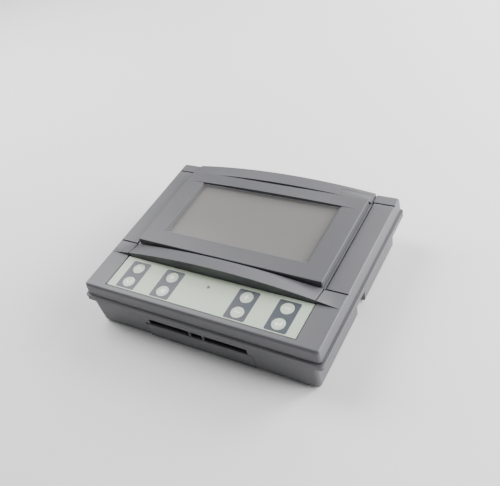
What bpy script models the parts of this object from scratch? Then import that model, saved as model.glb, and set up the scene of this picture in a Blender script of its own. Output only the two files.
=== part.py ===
"""Desk terminal with a large display and a membrane keypad, built as an assembly.

All sizes below are in millimetres; make_object() turns them into metres.
X is the width, Y runs from the keypad edge to the rear, Z is up.
The origin is the middle of the footprint, on the surface that the feet stand on.
"""
import math

import bmesh
import bpy

MM = 0.001

# ---------------------------------------------------------------- clearances
GAP = 0.3            # between neighbours that touch on the real object
SLIDE_GAP = 0.35     # around moving keys and the pull-out cover

# ---------------------------------------------------------------- case sizes
WALL = 2.5
COVER_W = 250.0
COVER_D = 191.6
COVER_H = 12.5       # height of the cover's side above the shadow gap
SIDE_LEAN = 1.0      # the cover's side leans in by this much
FRONT_LEAN = 3.4     # and its front wall by this much
SIDE_R = 1.6         # side top edges
EDGE_R = 1.6         # front and rear top edges
SHADOW_GAP = 1.0
FLANGE_SIDE_OUT = 2.5
FLANGE_END_OUT = 2.1
FLANGE_H = 5.5
FLANGE_R = 4.0
BODY_H = 31.0
BODY_INSET_SIDE = 4.0
BODY_INSET_REAR = 9.3
BODY_FRONT_OUT = 0.7
BODY_DRAFT = 0.6     # the body narrows by this much per side towards the base
BODY_R = 4.0
FOOT_OUT = 1.0       # feet below the base
FOOT_DIA = 12.0
FOOT_H = 1.6
FOOT_INSET = 22.0    # from the body's walls
FOOT_BEVEL = 0.5

# ---------------------------------------------------------------- levels
BASE_Z = FOOT_OUT
FLOOR_Z = BASE_Z + WALL
FLANGE_Z = BASE_Z + BODY_H
RIM_Z = FLANGE_Z + FLANGE_H
COVER_Z = RIM_Z + SHADOW_GAP
TOP_Z = COVER_Z + COVER_H

# ---------------------------------------------------------------- plan places
COVER_FRONT = -COVER_D / 2
COVER_REAR = COVER_D / 2
BODY_FRONT = COVER_FRONT - BODY_FRONT_OUT
BODY_REAR = COVER_REAR - BODY_INSET_REAR
BODY_HALF = COVER_W / 2 - BODY_INSET_SIDE

# ---------------------------------------------------------------- keypad
OVERLAY_SIDE = 23.8      # from the cover's side
OVERLAY_W = COVER_W - 2 * OVERLAY_SIDE
OVERLAY_D = 39.6
OVERLAY_T = 0.6
OVERLAY_SUNK = 1.0   # film below the cover's top
OVERLAY_FROM_FRONT = 8.1
OVERLAY_Y = COVER_FRONT + OVERLAY_FROM_FRONT + OVERLAY_D / 2
KEY_DIA = 13.2
KEY_PITCH_Y = 17.5
KEY_FROM_SIDE = 20.9     # outer keys, from the film's side
KEY_PITCH_X = 40.0
KEY_OUTER_X = OVERLAY_W / 2 - KEY_FROM_SIDE
KEY_INNER_X = KEY_OUTER_X - KEY_PITCH_X
KEY_COLUMNS = (-KEY_OUTER_X, -KEY_INNER_X, KEY_INNER_X, KEY_OUTER_X)
KEY_ROW_SHIFT = -0.8     # middle of the two rows, from the film's middle
KEY_TRAVEL = 0.5
KEY_PROUD = 0.6
KEY_BEVEL = 0.6
KEY_STEM_DIA = 5.0
KEY_NAMES = (("key_up", "key_down"), ("key_next", "key_back"),
             ("key_plus", "key_minus"), ("key_dash", "key_enter"))
FILM_Z = TOP_Z - OVERLAY_SUNK
POCKET_Z = FILM_Z - OVERLAY_T - GAP
KEYPAD_WALL = 2.5
SWITCH_H = 1.6
SWITCH_BODY_H = 1.1
SWITCH_SIDE = 6.0
PLUNGER_DIA = 3.4
STOP_CLEAR = 0.1         # left when a key is fully down
SWITCH_CLEAR = KEY_TRAVEL + STOP_CLEAR
STEM_PROUD = 0.6         # stem below the keypad wall
STEM_Z = POCKET_Z - KEYPAD_WALL - STEM_PROUD
SWITCH_TOP = STEM_Z - SWITCH_CLEAR
PCB_T = 1.6
KEYPAD_BOARD_Z = SWITCH_TOP - SWITCH_H - GAP - PCB_T
KEYPAD_BOARD_W = OVERLAY_W - 6.0
KEYPAD_BOARD_D = OVERLAY_D - 3.6
KEYPAD_HOLE_INSET = 3.8
LED_DIA = 3.0
LED_HOLE = 2.4
LED_TIP_Z = POCKET_Z - 0.2
LED_Y = OVERLAY_Y + KEY_ROW_SHIFT + KEY_PITCH_Y / 2

# ---------------------------------------------------------------- front band
BAND_FROM_FILM = 0.5
BAND_D = 16.5
BAND_FRONT = OVERLAY_Y + OVERLAY_D / 2 + BAND_FROM_FILM
BAND_REAR = BAND_FRONT + BAND_D
BAND_FRONT_H = 11.0      # crown height at the keypad side
BAND_FRONT_HALF = COVER_W / 2 - 3.0
BAND_REAR_H = 6.6        # crown height at the display side
BAND_REAR_HALF = COVER_W / 2 - 23.5

# ---------------------------------------------------------------- display
REAR_BAND_D = 13.7
REAR_BAND_FROM_BEZEL = 1.3
REAR_BAND_FRONT = COVER_REAR - REAR_BAND_D
BEZEL_FROM_BAND = 1.2
BEZEL_SIDE = 25.25       # from the cover's side
BEZEL_W = COVER_W - 2 * BEZEL_SIDE
BEZEL_H = 6.8
BEZEL_R = 1.5
BEZEL_FRONT = BAND_REAR + BEZEL_FROM_BAND
BEZEL_REAR = REAR_BAND_FRONT - REAR_BAND_FROM_BEZEL
BEZEL_CROWN = 1.8        # rise of the strip behind the window
BEZEL_CROWN_IN = 8.75    # its ends, from the bezel's sides
BEZEL_SKIRT_IN = 7.0
BEZEL_SKIRT_DEPTH = 8.0
WINDOW_SIDE = 21.85      # from the bezel's sides
WINDOW_FRONT = 18.0      # from the bezel's front edge
WINDOW_REAR = 15.7       # from the bezel's rear edge
LENS_SUNK = 2.4
LENS_T = 2.0
LENS_LAP = 3.2
LCD_T = 2.0
LCD_FRAME_WALL = 3.0
BACKLIGHT_T = 5.5
LCD_TRAY_T = 1.0

# ---------------------------------------------------------------- rear band
REAR_BAND_FRONT_H = 8.3
REAR_BAND_FRONT_HALF = COVER_W / 2 - 3.0
REAR_BAND_REAR_H = 8.2
REAR_BAND_REAR_HALF = COVER_W / 2 - 13.0
REAR_BAND_END = BEZEL_W / 2 + 1.4    # the crown stops at its end grooves
PLATE_X = COVER_W / 2 - 40.5
PLATE_W = 31.0
PLATE_D = 5.6
PLATE_T = 0.8
PLATE_SUNK = 0.2
PLATE_FROM_REAR = 7.4

# ---------------------------------------------------------------- grooves
GROOVE_W = 0.9
GROOVE_DEPTH = 0.9
SIDE_GROOVE_X = BEZEL_W / 2 + 2.8
SIDE_GROOVE_FRONT = BAND_REAR + 0.9
SIDE_GROOVE_REAR = REAR_BAND_FRONT + 2.0
CROSS_GROOVE_IN = 1.8    # cross groove's end, from the cover's side
BAND_GROOVE_X = REAR_BAND_END

# ---------------------------------------------------------------- front wall
SLOT_W = 107.2
SLOT_H = 6.5
SLOT_RIB = 1.6
SLOT_MIDDLE = 13.2
PULL_COVER_W = 116.0
PULL_COVER_TOP = 17.7    # above the base
PULL_COVER_PROUD = 0.8
PULL_COVER_T = 3.4
PULL_COVER_BEVEL = 0.8
TAB_W = 8.0
TAB_T = 1.6
TAB_LONG = 5.5
TAB_IN = 12.0            # from the pull cover's ends
SLOT_OVER_COVER = 0.8
SLOT_FROM_BASE = PULL_COVER_TOP + SLOT_OVER_COVER

# ---------------------------------------------------------------- side notch
NOTCH_D = 18.5
NOTCH_FROM_REAR = 88.7   # its middle, from the body's rear wall
NOTCH_Y = BODY_REAR - NOTCH_FROM_REAR
NOTCH_IN = 20.0
NOTCH_TOP = 26.5         # above the base
GROMMET_DIA = 11.0
GROMMET_BORE = 5.0
GROMMET_LIP = 1.6
GROMMET_Z = BASE_Z + NOTCH_TOP / 2

# ---------------------------------------------------------------- inside
POST_DIA = 10.0
POST_INSET = 10.5        # post axis from the body's inner wall
POST_TOP = FLANGE_Z + WALL + 2.6
BOSS_DIA = 8.6
BOSS_END = POST_TOP + 0.4
BOSS_ROOT = 0.6          # how far bosses and posts run into the wall they grow from
SCREW_DIA = 3.0
SCREW_HEAD_DIA = 5.6
SCREW_HEAD_H = 2.2
SCREW_SEAT = 23.0        # head seat above the base
SCREW_BITE = 9.0
BOARD_FROM_LEFT = 22.0   # from the body's walls
BOARD_FROM_RIGHT = 28.0
BOARD_FROM_FRONT = 12.0
BOARD_FROM_REAR = 47.0
BOARD_LIFT = 2.9
BOARD_HOLE_INSET = 6.0
SMALL_SCREW_DIA = 2.4
SMALL_HEAD_DIA = 4.6
SMALL_HEAD_H = 1.6
SMALL_BOSS_DIA = 6.5
GASKET_INSET = 1.8
GASKET_W = 3.0
PART_GAP = 0.3           # components above the board
SERVICE_W = 52.0
SERVICE_D = 12.0
SERVICE_H = 8.4
TERMINAL_W = 12.0
TERMINAL_D = 40.0
TERMINAL_H = 10.0
POWER_W = 50.0
POWER_D = 36.0
POWER_H = 13.0
BUZZER_DIA = 13.0
BUZZER_H = 9.0

KEYPAD_COLOUR = (0.56, 0.60, 0.52, 1.0)
CASE_COLOUR = (0.235, 0.240, 0.255, 1.0)


# ================================================================ helpers
def material(name, colour, roughness=0.5, metallic=0.0):
    """A Principled material of one colour."""
    mat = bpy.data.materials.new(name)
    mat.use_nodes = True
    shader = mat.node_tree.nodes["Principled BSDF"]
    shader.inputs["Base Color"].default_value = colour
    shader.inputs["Roughness"].default_value = roughness
    shader.inputs["Metallic"].default_value = metallic
    return mat


def make_object(name, bm, mat=None, smooth=False):
    """Turn a bmesh in millimetres into an object in metres."""
    bmesh.ops.scale(bm, vec=(MM, MM, MM), verts=bm.verts)
    bmesh.ops.recalc_face_normals(bm, faces=bm.faces)
    mesh = bpy.data.meshes.new(name)
    bm.to_mesh(mesh)
    bm.free()
    if smooth:
        mesh.shade_smooth()
        mesh.set_sharp_from_angle(angle=math.radians(35))
    obj = bpy.data.objects.new(name, mesh)
    bpy.context.scene.collection.objects.link(obj)
    if mat:
        mesh.materials.append(mat)
    return obj


def helper(name, bm):
    """A Boolean partner, left out of the model."""
    obj = make_object(name, bm)
    obj.hide_render = True
    obj.display_type = "WIRE"
    return obj


def boolean(target, bm, name, operation):
    """Join a shape to the target, or cut it away."""
    mod = target.modifiers.new(name, "BOOLEAN")
    mod.operation = operation
    mod.solver = "EXACT"
    mod.object = helper(name, bm)


def cut(target, bm, name):
    boolean(target, bm, name, "DIFFERENCE")


def join(target, bm, name):
    boolean(target, bm, name, "UNION")


def add_loft(bm, rings):
    """Skin a list of closed rings, each a list of points, and cap both ends."""
    loops = [[bm.verts.new(point) for point in ring] for ring in rings]
    for low, high in zip(loops, loops[1:]):
        count = len(low)
        for i in range(count):
            j = (i + 1) % count
            bm.faces.new((low[i], low[j], high[j], high[i]))
    bm.faces.new(list(reversed(loops[0])))
    bm.faces.new(loops[-1])


def add_box(bm, x0, x1, y0, y1, z0, z1):
    ring = ((x0, y0), (x1, y0), (x1, y1), (x0, y1))
    add_loft(bm, [[(x, y, z) for x, y in ring] for z in (z0, z1)])


def box(x0, x1, y0, y1, z0, z1):
    bm = bmesh.new()
    add_box(bm, x0, x1, y0, y1, z0, z1)
    return bm


def rounded(x0, x1, y0, y1, radius, z, steps=4):
    """A rectangle with round corners, anticlockwise."""
    points = []
    corners = ((x1, y0, -90), (x1, y1, 0), (x0, y1, 90), (x0, y0, 180))
    for cx, cy, start in corners:
        ox = cx - math.copysign(radius, cx - (x0 + x1) / 2)
        oy = cy - math.copysign(radius, cy - (y0 + y1) / 2)
        for i in range(steps + 1):
            angle = math.radians(start + 90 * i / steps)
            points.append((ox + radius * math.cos(angle), oy + radius * math.sin(angle), z))
    return points


def add_slab(bm, x0, x1, y0, y1, z0, z1, radius, steps=4):
    add_loft(bm, [rounded(x0, x1, y0, y1, radius, z, steps) for z in (z0, z1)])


def add_lathe(bm, cx, cy, profile, sides):
    """Turn a profile of (radius, z) pairs round a vertical axis; ends on the axis are poles."""
    rings = []
    for radius, z in profile:
        if radius == 0:
            rings.append([bm.verts.new((cx, cy, z))])
            continue
        rings.append([bm.verts.new((cx + radius * math.cos(math.tau * i / sides),
                                    cy + radius * math.sin(math.tau * i / sides), z))
                      for i in range(sides)])
    for low, high in zip(rings, rings[1:]):
        for i in range(sides):
            j = (i + 1) % sides
            if len(low) == 1:
                bm.faces.new((low[0], high[j], high[i]))
            elif len(high) == 1:
                bm.faces.new((low[i], low[j], high[0]))
            else:
                bm.faces.new((low[i], low[j], high[j], high[i]))


def add_cylinder(bm, cx, cy, z0, z1, diameter, sides=16):
    add_loft(bm, [[(cx + diameter / 2 * math.cos(math.tau * i / sides),
                    cy + diameter / 2 * math.sin(math.tau * i / sides), z)
                   for i in range(sides)] for z in (z0, z1)])


def add_prism_x(bm, x0, x1, outline):
    """Extrude a (y, z) outline along X."""
    add_loft(bm, [[(x, y, z) for y, z in outline] for x in (x0, x1)])


def add_prism_y(bm, y0, y1, outline):
    """Extrude an (x, z) outline along Y."""
    add_loft(bm, [[(x, y, z) for x, z in outline] for y in (y0, y1)])


# ================================================================ cover surface
def arch(x, height, half):
    return height * max(0.0, 1.0 - (x / half) ** 2)


def blend(y, y0, y1, a, b):
    t = min(1.0, max(0.0, (y - y0) / (y1 - y0)))
    return a + (b - a) * t


def front_band(x, y):
    return arch(x, blend(y, BAND_FRONT, BAND_REAR, BAND_FRONT_H, BAND_REAR_H),
                blend(y, BAND_FRONT, BAND_REAR, BAND_FRONT_HALF, BAND_REAR_HALF))


def rear_band(x, y):
    if abs(x) > REAR_BAND_END:
        return 0.0
    return arch(x, blend(y, REAR_BAND_FRONT, COVER_REAR, REAR_BAND_FRONT_H, REAR_BAND_REAR_H),
                blend(y, REAR_BAND_FRONT, COVER_REAR, REAR_BAND_FRONT_HALF, REAR_BAND_REAR_HALF))


def rounding(near, radius):
    """How far a rounded edge has fallen, at a distance from its end."""
    if near >= radius:
        return 0.0
    return radius - math.sqrt(radius ** 2 - (radius - near) ** 2)


def column_places():
    """X places across the cover: close together on the side edges, even over the crown."""
    inner = COVER_W / 2 - SIDE_LEAN - SIDE_R
    places = [inner * i / 11 for i in range(-11, 12)]
    places += [-REAR_BAND_END, REAR_BAND_END, -REAR_BAND_END - GAP, REAR_BAND_END + GAP]
    turn = [inner + SIDE_R * math.sin(math.radians(a)) for a in (30, 60, 90)]
    return [-x for x in reversed(turn)] + sorted(places) + turn


def cover_ring(y, crown):
    """One cross-section of the cover's outside, as a closed ring at this y."""
    top = TOP_Z - rounding(min(y - COVER_FRONT, COVER_REAR - y), EDGE_R)
    side = COVER_W / 2 - SIDE_LEAN
    points = [(-COVER_W / 2, y, COVER_Z)]
    for x in column_places():
        points.append((x, y, top - rounding(side - abs(x), SIDE_R) + crown(x, y)))
    points.append((COVER_W / 2, y, COVER_Z))
    return points


def flat(x, y):
    return 0.0


def cover_block():
    """The cover's outside as one closed block with its crowned bands."""
    bm = bmesh.new()
    turn = [EDGE_R * (1 - math.cos(math.radians(a))) for a in (0, 30, 60, 90)]
    rings = [cover_ring(COVER_FRONT + t, flat) for t in turn]
    rings.append(cover_ring(BAND_FRONT, flat))
    rings.append(cover_ring(BAND_FRONT, front_band))
    rings.append(cover_ring((BAND_FRONT + BAND_REAR) / 2, front_band))
    rings.append(cover_ring(BAND_REAR, front_band))
    rings.append(cover_ring(BAND_REAR, flat))
    rings.append(cover_ring(REAR_BAND_FRONT, flat))
    rings.append(cover_ring(REAR_BAND_FRONT, rear_band))
    rings += [cover_ring(COVER_REAR - t, rear_band) for t in reversed(turn)]
    add_loft(bm, rings)
    bmesh.ops.remove_doubles(bm, verts=bm.verts, dist=0.0005)
    return bm


def front_slope():
    """What the leaning front wall takes off the block, as a (y, z) outline."""
    over = 2.0
    lean = COVER_FRONT + FRONT_LEAN
    outline = [(COVER_FRONT - over, COVER_Z), (COVER_FRONT, COVER_Z)]
    for angle in (0, 25, 50, 75):
        turn = math.radians(angle)
        outline.append((lean + EDGE_R * (1 - math.cos(turn)), TOP_Z - EDGE_R * (1 - math.sin(turn))))
    outline.append((lean + EDGE_R, TOP_Z + over))
    outline.append((COVER_FRONT - over, TOP_Z + over))
    return outline


def add_crown_hollow(bm, y0, y1, crown, half):
    """The hollow under a crowned band, one wall below its surface."""
    steps = 10
    rings = []
    for y in (y0, y1):
        ring = [(-half, y, TOP_Z - WALL - 1.0), (half, y, TOP_Z - WALL - 1.0)]
        for i in range(steps + 1):
            x = half - 2 * half * i / steps
            ring.append((x, y, TOP_Z - WALL + crown(x, y)))
        rings.append(ring)
    add_loft(bm, rings)


def key_rows():
    middle = OVERLAY_Y + KEY_ROW_SHIFT
    return middle + KEY_PITCH_Y / 2, middle - KEY_PITCH_Y / 2


def key_places():
    """Name, x and y of each key."""
    rows = key_rows()
    for names, x in zip(KEY_NAMES, KEY_COLUMNS):
        for name, y in zip(names, rows):
            yield name, x, y


def corner_posts():
    """X and y of the four case screws."""
    x = BODY_HALF - WALL - POST_INSET
    front = BODY_FRONT + WALL + POST_INSET
    rear = BODY_REAR - WALL - POST_INSET
    return [(sx * x, y) for y in (front, rear) for sx in (-1, 1)]


def keypad_board_holes():
    x = KEYPAD_BOARD_W / 2 - KEYPAD_HOLE_INSET
    y = KEYPAD_BOARD_D / 2 - KEYPAD_HOLE_INSET
    return [(sx * x, OVERLAY_Y + sy * y) for sx in (-1, 1) for sy in (-1, 1)]


def skirt_box(inset):
    """Plan of the bezel's skirt, drawn in by an inset."""
    half = BEZEL_W / 2 - BEZEL_SKIRT_IN - inset
    front = BEZEL_FRONT + BEZEL_SKIRT_IN + inset
    rear = BEZEL_REAR - BEZEL_SKIRT_IN - inset
    return -half, half, front, rear


# ================================================================ case
def build_cover():
    cover = make_object("top_cover", cover_block(),
                        material("case_plastic_top", CASE_COLOUR, 0.45))

    slope = bmesh.new()
    add_prism_x(slope, -COVER_W / 2 - 1.0, COVER_W / 2 + 1.0, front_slope())
    cut(cover, slope, "front_slope")
    half = COVER_W / 2 - SIDE_LEAN - WALL
    keypad_end = BAND_FRONT + WALL
    cut(cover, box(-half, half, COVER_FRONT + FRONT_LEAN + WALL, keypad_end,
                   COVER_Z - WALL, POCKET_Z - KEYPAD_WALL), "hollow_under_keypad")
    cut(cover, box(-half, half, keypad_end - 1.0, COVER_REAR - WALL,
                   COVER_Z - WALL, TOP_Z - WALL), "hollow_under_display")
    hollow = bmesh.new()
    add_crown_hollow(hollow, BAND_FRONT + WALL, BAND_REAR - WALL, front_band,
                     BAND_REAR_HALF - 20)
    add_crown_hollow(hollow, REAR_BAND_FRONT + WALL, COVER_REAR - EDGE_R - 1.0, rear_band,
                     REAR_BAND_REAR_HALF - 45)
    cut(cover, hollow, "hollow_under_bands")

    bosses = bmesh.new()
    for x, y in corner_posts():
        add_cylinder(bosses, x, y, BOSS_END, TOP_Z - WALL + BOSS_ROOT, BOSS_DIA)
    for x, y in keypad_board_holes():
        add_cylinder(bosses, x, y, KEYPAD_BOARD_Z + PCB_T + GAP,
                     POCKET_Z - KEYPAD_WALL + BOSS_ROOT, SMALL_BOSS_DIA, 12)
    join(cover, bosses, "cover_bosses")

    pilots = bmesh.new()
    for x, y in corner_posts():
        add_cylinder(pilots, x, y, FLANGE_Z, TOP_Z - WALL - 1.0, SCREW_DIA + 2 * GAP, 12)
    for x, y in keypad_board_holes():
        add_cylinder(pilots, x, y, KEYPAD_BOARD_Z, POCKET_Z - KEYPAD_WALL + 0.2,
                     SMALL_SCREW_DIA + 2 * GAP, 10)
    cut(cover, pilots, "cover_pilots")

    pocket = box(-OVERLAY_W / 2 - GAP, OVERLAY_W / 2 + GAP,
                 OVERLAY_Y - OVERLAY_D / 2 - GAP, OVERLAY_Y + OVERLAY_D / 2 + GAP,
                 POCKET_Z, TOP_Z + 5)
    cut(cover, pocket, "film_pocket")
    holes = bmesh.new()
    for _, x, y in key_places():
        add_cylinder(holes, x, y, POCKET_Z - KEYPAD_WALL - 1, POCKET_Z + 1,
                     KEY_STEM_DIA + 2 * SLIDE_GAP, 12)
    add_cylinder(holes, 0, LED_Y, POCKET_Z - KEYPAD_WALL - 1, POCKET_Z + 1,
                 LED_DIA + 2 * GAP, 12)
    cut(cover, holes, "stem_holes")

    x0, x1, y0, y1 = skirt_box(-GAP)
    cut(cover, box(x0, x1, y0, y1, TOP_Z - WALL - 2, TOP_Z + 2), "display_hole")
    cut(cover, cover_grooves(), "cover_grooves")
    cut(cover, plate_patch(GAP, -PLATE_SUNK - PLATE_T - GAP, 3.0), "plate_pocket")
    return cover


def cover_grooves():
    """Thin grooves that frame the side strips and split the bands."""
    bm = bmesh.new()
    w = GROOVE_W / 2
    deep = TOP_Z - GROOVE_DEPTH
    reach = COVER_W / 2 - CROSS_GROOVE_IN
    for side in (-1, 1):
        xs = sorted((side * (SIDE_GROOVE_X - w), side * (SIDE_GROOVE_X + w)))
        add_box(bm, xs[0], xs[1], SIDE_GROOVE_FRONT, SIDE_GROOVE_REAR, deep, TOP_Z + 4)
        xs = sorted((side * (SIDE_GROOVE_X - w), side * reach))
        for y in (SIDE_GROOVE_FRONT - w - 0.05, SIDE_GROOVE_REAR + w + 0.05):
            add_box(bm, xs[0], xs[1], y - w, y + w, deep, TOP_Z + 4)
        bx = side * BAND_GROOVE_X
        y0 = BAND_FRONT - 1.0
        y1 = BAND_REAR + 0.2
        outline = [(y0, deep + front_band(bx, BAND_FRONT)), (y1, deep),
                   (y1, TOP_Z + 9), (y0, TOP_Z + 9)]
        add_prism_x(bm, bx - w, bx + w, outline)
    return bm


def plate_patch(grow, low, high):
    """A patch that follows the rear band's crown, between two heights over it."""
    bm = bmesh.new()
    y0 = COVER_REAR - PLATE_FROM_REAR - PLATE_D / 2 - grow
    y1 = COVER_REAR - PLATE_FROM_REAR + PLATE_D / 2 + grow
    steps = 5
    half = PLATE_W / 2 + grow
    rings = []
    for y in (y0, y1):
        xs = [PLATE_X - half + 2 * half * i / steps for i in range(steps + 1)]
        ring = [(x, y, TOP_Z + low + rear_band(x, y)) for x in xs]
        ring += [(x, y, TOP_Z + high + rear_band(x, y)) for x in reversed(xs)]
        rings.append(ring)
    add_loft(bm, rings)
    return bm


def body_ring(z, inset=0.0):
    """Plan of the housing's body at a height, drawn in by an inset."""
    rise = (z - BASE_Z) / BODY_H
    narrow = BODY_DRAFT * (1.0 - rise)
    half = BODY_HALF - narrow - inset
    return rounded(-half, half, BODY_FRONT + inset, BODY_REAR - narrow - inset,
                   max(BODY_R - inset, 1.0), z)


def build_housing():
    bm = bmesh.new()
    add_loft(bm, [body_ring(BASE_Z), body_ring(FLANGE_Z + WALL)])
    housing = make_object("lower_housing", bm, material("case_plastic_base", CASE_COLOUR, 0.5))

    flange = bmesh.new()
    half = COVER_W / 2 + FLANGE_SIDE_OUT
    add_slab(flange, -half, half, COVER_FRONT - FLANGE_END_OUT, COVER_REAR + FLANGE_END_OUT,
             FLANGE_Z, RIM_Z, FLANGE_R)
    join(housing, flange, "flange")

    hollow = bmesh.new()
    add_loft(hollow, [body_ring(FLOOR_Z, WALL), body_ring(RIM_Z + 2, WALL)])
    cut(housing, hollow, "body_hollow")
    half = COVER_W / 2
    rim = bmesh.new()
    add_slab(rim, -half, half, COVER_FRONT + 0.4, COVER_REAR - 0.4, FLANGE_Z + WALL, RIM_Z + 3,
             FLANGE_R - FLANGE_END_OUT)
    cut(housing, rim, "rim_hollow")

    inner = BODY_HALF - NOTCH_IN
    blocks = bmesh.new()
    add_box(blocks, inner - WALL, BODY_HALF - 1.0, NOTCH_Y - NOTCH_D / 2 - WALL,
            NOTCH_Y + NOTCH_D / 2 + WALL, BASE_Z + 1.0, BASE_Z + NOTCH_TOP + WALL)
    for x, y in corner_posts():
        add_cylinder(blocks, x, y, FLOOR_Z - BOSS_ROOT, POST_TOP, POST_DIA)
    for x, y in board_holes():
        add_cylinder(blocks, x, y, FLOOR_Z - BOSS_ROOT, FLOOR_Z + BOARD_LIFT, SMALL_BOSS_DIA, 12)
    join(housing, blocks, "posts_and_notch_walls")

    cuts = bmesh.new()
    add_box(cuts, inner, BODY_HALF + 5, NOTCH_Y - NOTCH_D / 2, NOTCH_Y + NOTCH_D / 2,
            BASE_Z - 2, BASE_Z + NOTCH_TOP)
    for x, y in corner_posts():
        add_lathe(cuts, x, y, ((0, BASE_Z - 2), (SCREW_HEAD_DIA / 2 + 0.4, BASE_Z - 2),
                               (SCREW_HEAD_DIA / 2 + 0.4, BASE_Z + SCREW_SEAT),
                               (SCREW_DIA / 2 + 0.3, BASE_Z + SCREW_SEAT),
                               (SCREW_DIA / 2 + 0.3, RIM_Z + 4), (0, RIM_Z + 4)), 14)
    for x, y in board_holes():
        add_cylinder(cuts, x, y, FLOOR_Z - 0.6, FLOOR_Z + BOARD_LIFT + 1,
                     SMALL_SCREW_DIA + 2 * GAP, 10)
    for x, y in foot_places():
        add_cylinder(cuts, x, y, BASE_Z - 1, BASE_Z + FOOT_H - FOOT_OUT + GAP,
                     FOOT_DIA + 2 * GAP, 20)
    for x0, x1 in slot_spans():
        add_box(cuts, x0, x1, BODY_FRONT - 2, BODY_FRONT + WALL + 2,
                BASE_Z + SLOT_FROM_BASE, BASE_Z + SLOT_FROM_BASE + SLOT_H)
    half = PULL_COVER_W / 2 + SLIDE_GAP
    add_box(cuts, -half, half, BODY_FRONT - 2,
            BODY_FRONT - PULL_COVER_PROUD + PULL_COVER_T + SLIDE_GAP,
            BASE_Z - 2, BASE_Z + PULL_COVER_TOP + SLIDE_GAP)
    cut(housing, cuts, "housing_cuts")

    grommet_hole = bmesh.new()
    add_side_cylinder(grommet_hole, inner - WALL - 2, inner + 2, NOTCH_Y,
                      GROMMET_Z, GROMMET_DIA + 2 * GAP, 16)
    cut(housing, grommet_hole, "grommet_hole")
    return housing


def add_side_cylinder(bm, x0, x1, y, z, diameter, sides):
    """A cylinder along X."""
    r = diameter / 2
    add_loft(bm, [[(x, y + r * math.cos(math.tau * i / sides),
                    z + r * math.sin(math.tau * i / sides)) for i in range(sides)]
                  for x in (x0, x1)])


def slot_spans():
    """X ranges of the three slots in the front wall."""
    middle = SLOT_MIDDLE / 2
    outer = SLOT_W / 2
    return ((-outer, -middle - SLOT_RIB), (-middle, middle), (middle + SLOT_RIB, outer))


def foot_places():
    x = BODY_HALF - FOOT_INSET
    return [(sx * x, y) for y in (BODY_FRONT + FOOT_INSET, BODY_REAR - FOOT_INSET)
            for sx in (-1, 1)]


def board_box():
    return (-BODY_HALF + BOARD_FROM_LEFT, BODY_HALF - BOARD_FROM_RIGHT,
            BODY_FRONT + BOARD_FROM_FRONT, BODY_REAR - BOARD_FROM_REAR)


def board_holes():
    x0, x1, y0, y1 = board_box()
    i = BOARD_HOLE_INSET
    return [(x, y) for x in (x0 + i, x1 - i) for y in (y0 + i, y1 - i)]


def build_gasket():
    bm = bmesh.new()
    half = COVER_W / 2 - GASKET_INSET
    y0 = COVER_FRONT + GASKET_INSET
    y1 = COVER_REAR - GASKET_INSET
    z0 = FLANGE_Z + WALL + GAP
    z1 = COVER_Z - GAP
    add_slab(bm, -half, half, y0, y1, z0, z1, 2.5)
    gasket = make_object("case_gasket", bm, material("black_rubber", (0.03, 0.03, 0.032, 1), 0.8))
    inside = bmesh.new()
    w = GASKET_W
    add_slab(inside, -half + w, half - w, y0 + w, y1 - w, z0 - 1, z1 + 1, 1.0)
    cut(gasket, inside, "gasket_inside")


def build_feet():
    mat = material("foot_rubber", (0.05, 0.05, 0.052, 1), 0.85)
    for number, (x, y) in enumerate(foot_places(), 1):
        bm = bmesh.new()
        add_lathe(bm, x, y, ((0, 0), (FOOT_DIA / 2 - FOOT_BEVEL, 0), (FOOT_DIA / 2, FOOT_BEVEL),
                             (FOOT_DIA / 2, FOOT_H), (0, FOOT_H)), 20)
        make_object(f"foot_{number}", bm, mat, smooth=True)


def screw(name, x, y, seat, length, shank, head, head_h, mat, up):
    """A pan-head screw; up is +1 when the shank points up from the head."""
    bm = bmesh.new()
    add_lathe(bm, x, y, ((0, seat - up * head_h), (head / 2 * 0.8, seat - up * head_h),
                         (head / 2, seat - up * head_h * 0.5), (head / 2, seat),
                         (shank / 2, seat), (shank / 2, seat + up * (length - 1.0)),
                         (shank / 2 * 0.6, seat + up * length), (0, seat + up * length)), 8)
    make_object(name, bm, mat, smooth=True)


def build_screws():
    mat = material("screw_steel", (0.55, 0.55, 0.57, 1), 0.35, 1.0)
    length = BOSS_END + SCREW_BITE - (BASE_Z + SCREW_SEAT)
    for number, (x, y) in enumerate(corner_posts(), 1):
        screw(f"case_screw_{number}", x, y, BASE_Z + SCREW_SEAT - GAP, length,
              SCREW_DIA, SCREW_HEAD_DIA, SCREW_HEAD_H, mat, 1)
    top = FLOOR_Z + BOARD_LIFT + GAP + PCB_T + GAP
    for number, (x, y) in enumerate(board_holes(), 1):
        screw(f"main_board_screw_{number}", x, y, top, 4.6,
              SMALL_SCREW_DIA, SMALL_HEAD_DIA, SMALL_HEAD_H, mat, -1)
    for number, (x, y) in enumerate(keypad_board_holes(), 1):
        screw(f"keypad_board_screw_{number}", x, y, KEYPAD_BOARD_Z - GAP, 4.4,
              SMALL_SCREW_DIA, SMALL_HEAD_DIA, SMALL_HEAD_H, mat, 1)
    for number, (x, y) in enumerate(display_board_holes(), 1):
        screw(f"display_board_screw_{number}", x, y, DISPLAY_BOARD_Z - GAP, 6.4,
              SMALL_SCREW_DIA, SMALL_HEAD_DIA, SMALL_HEAD_H, mat, 1)


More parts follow.
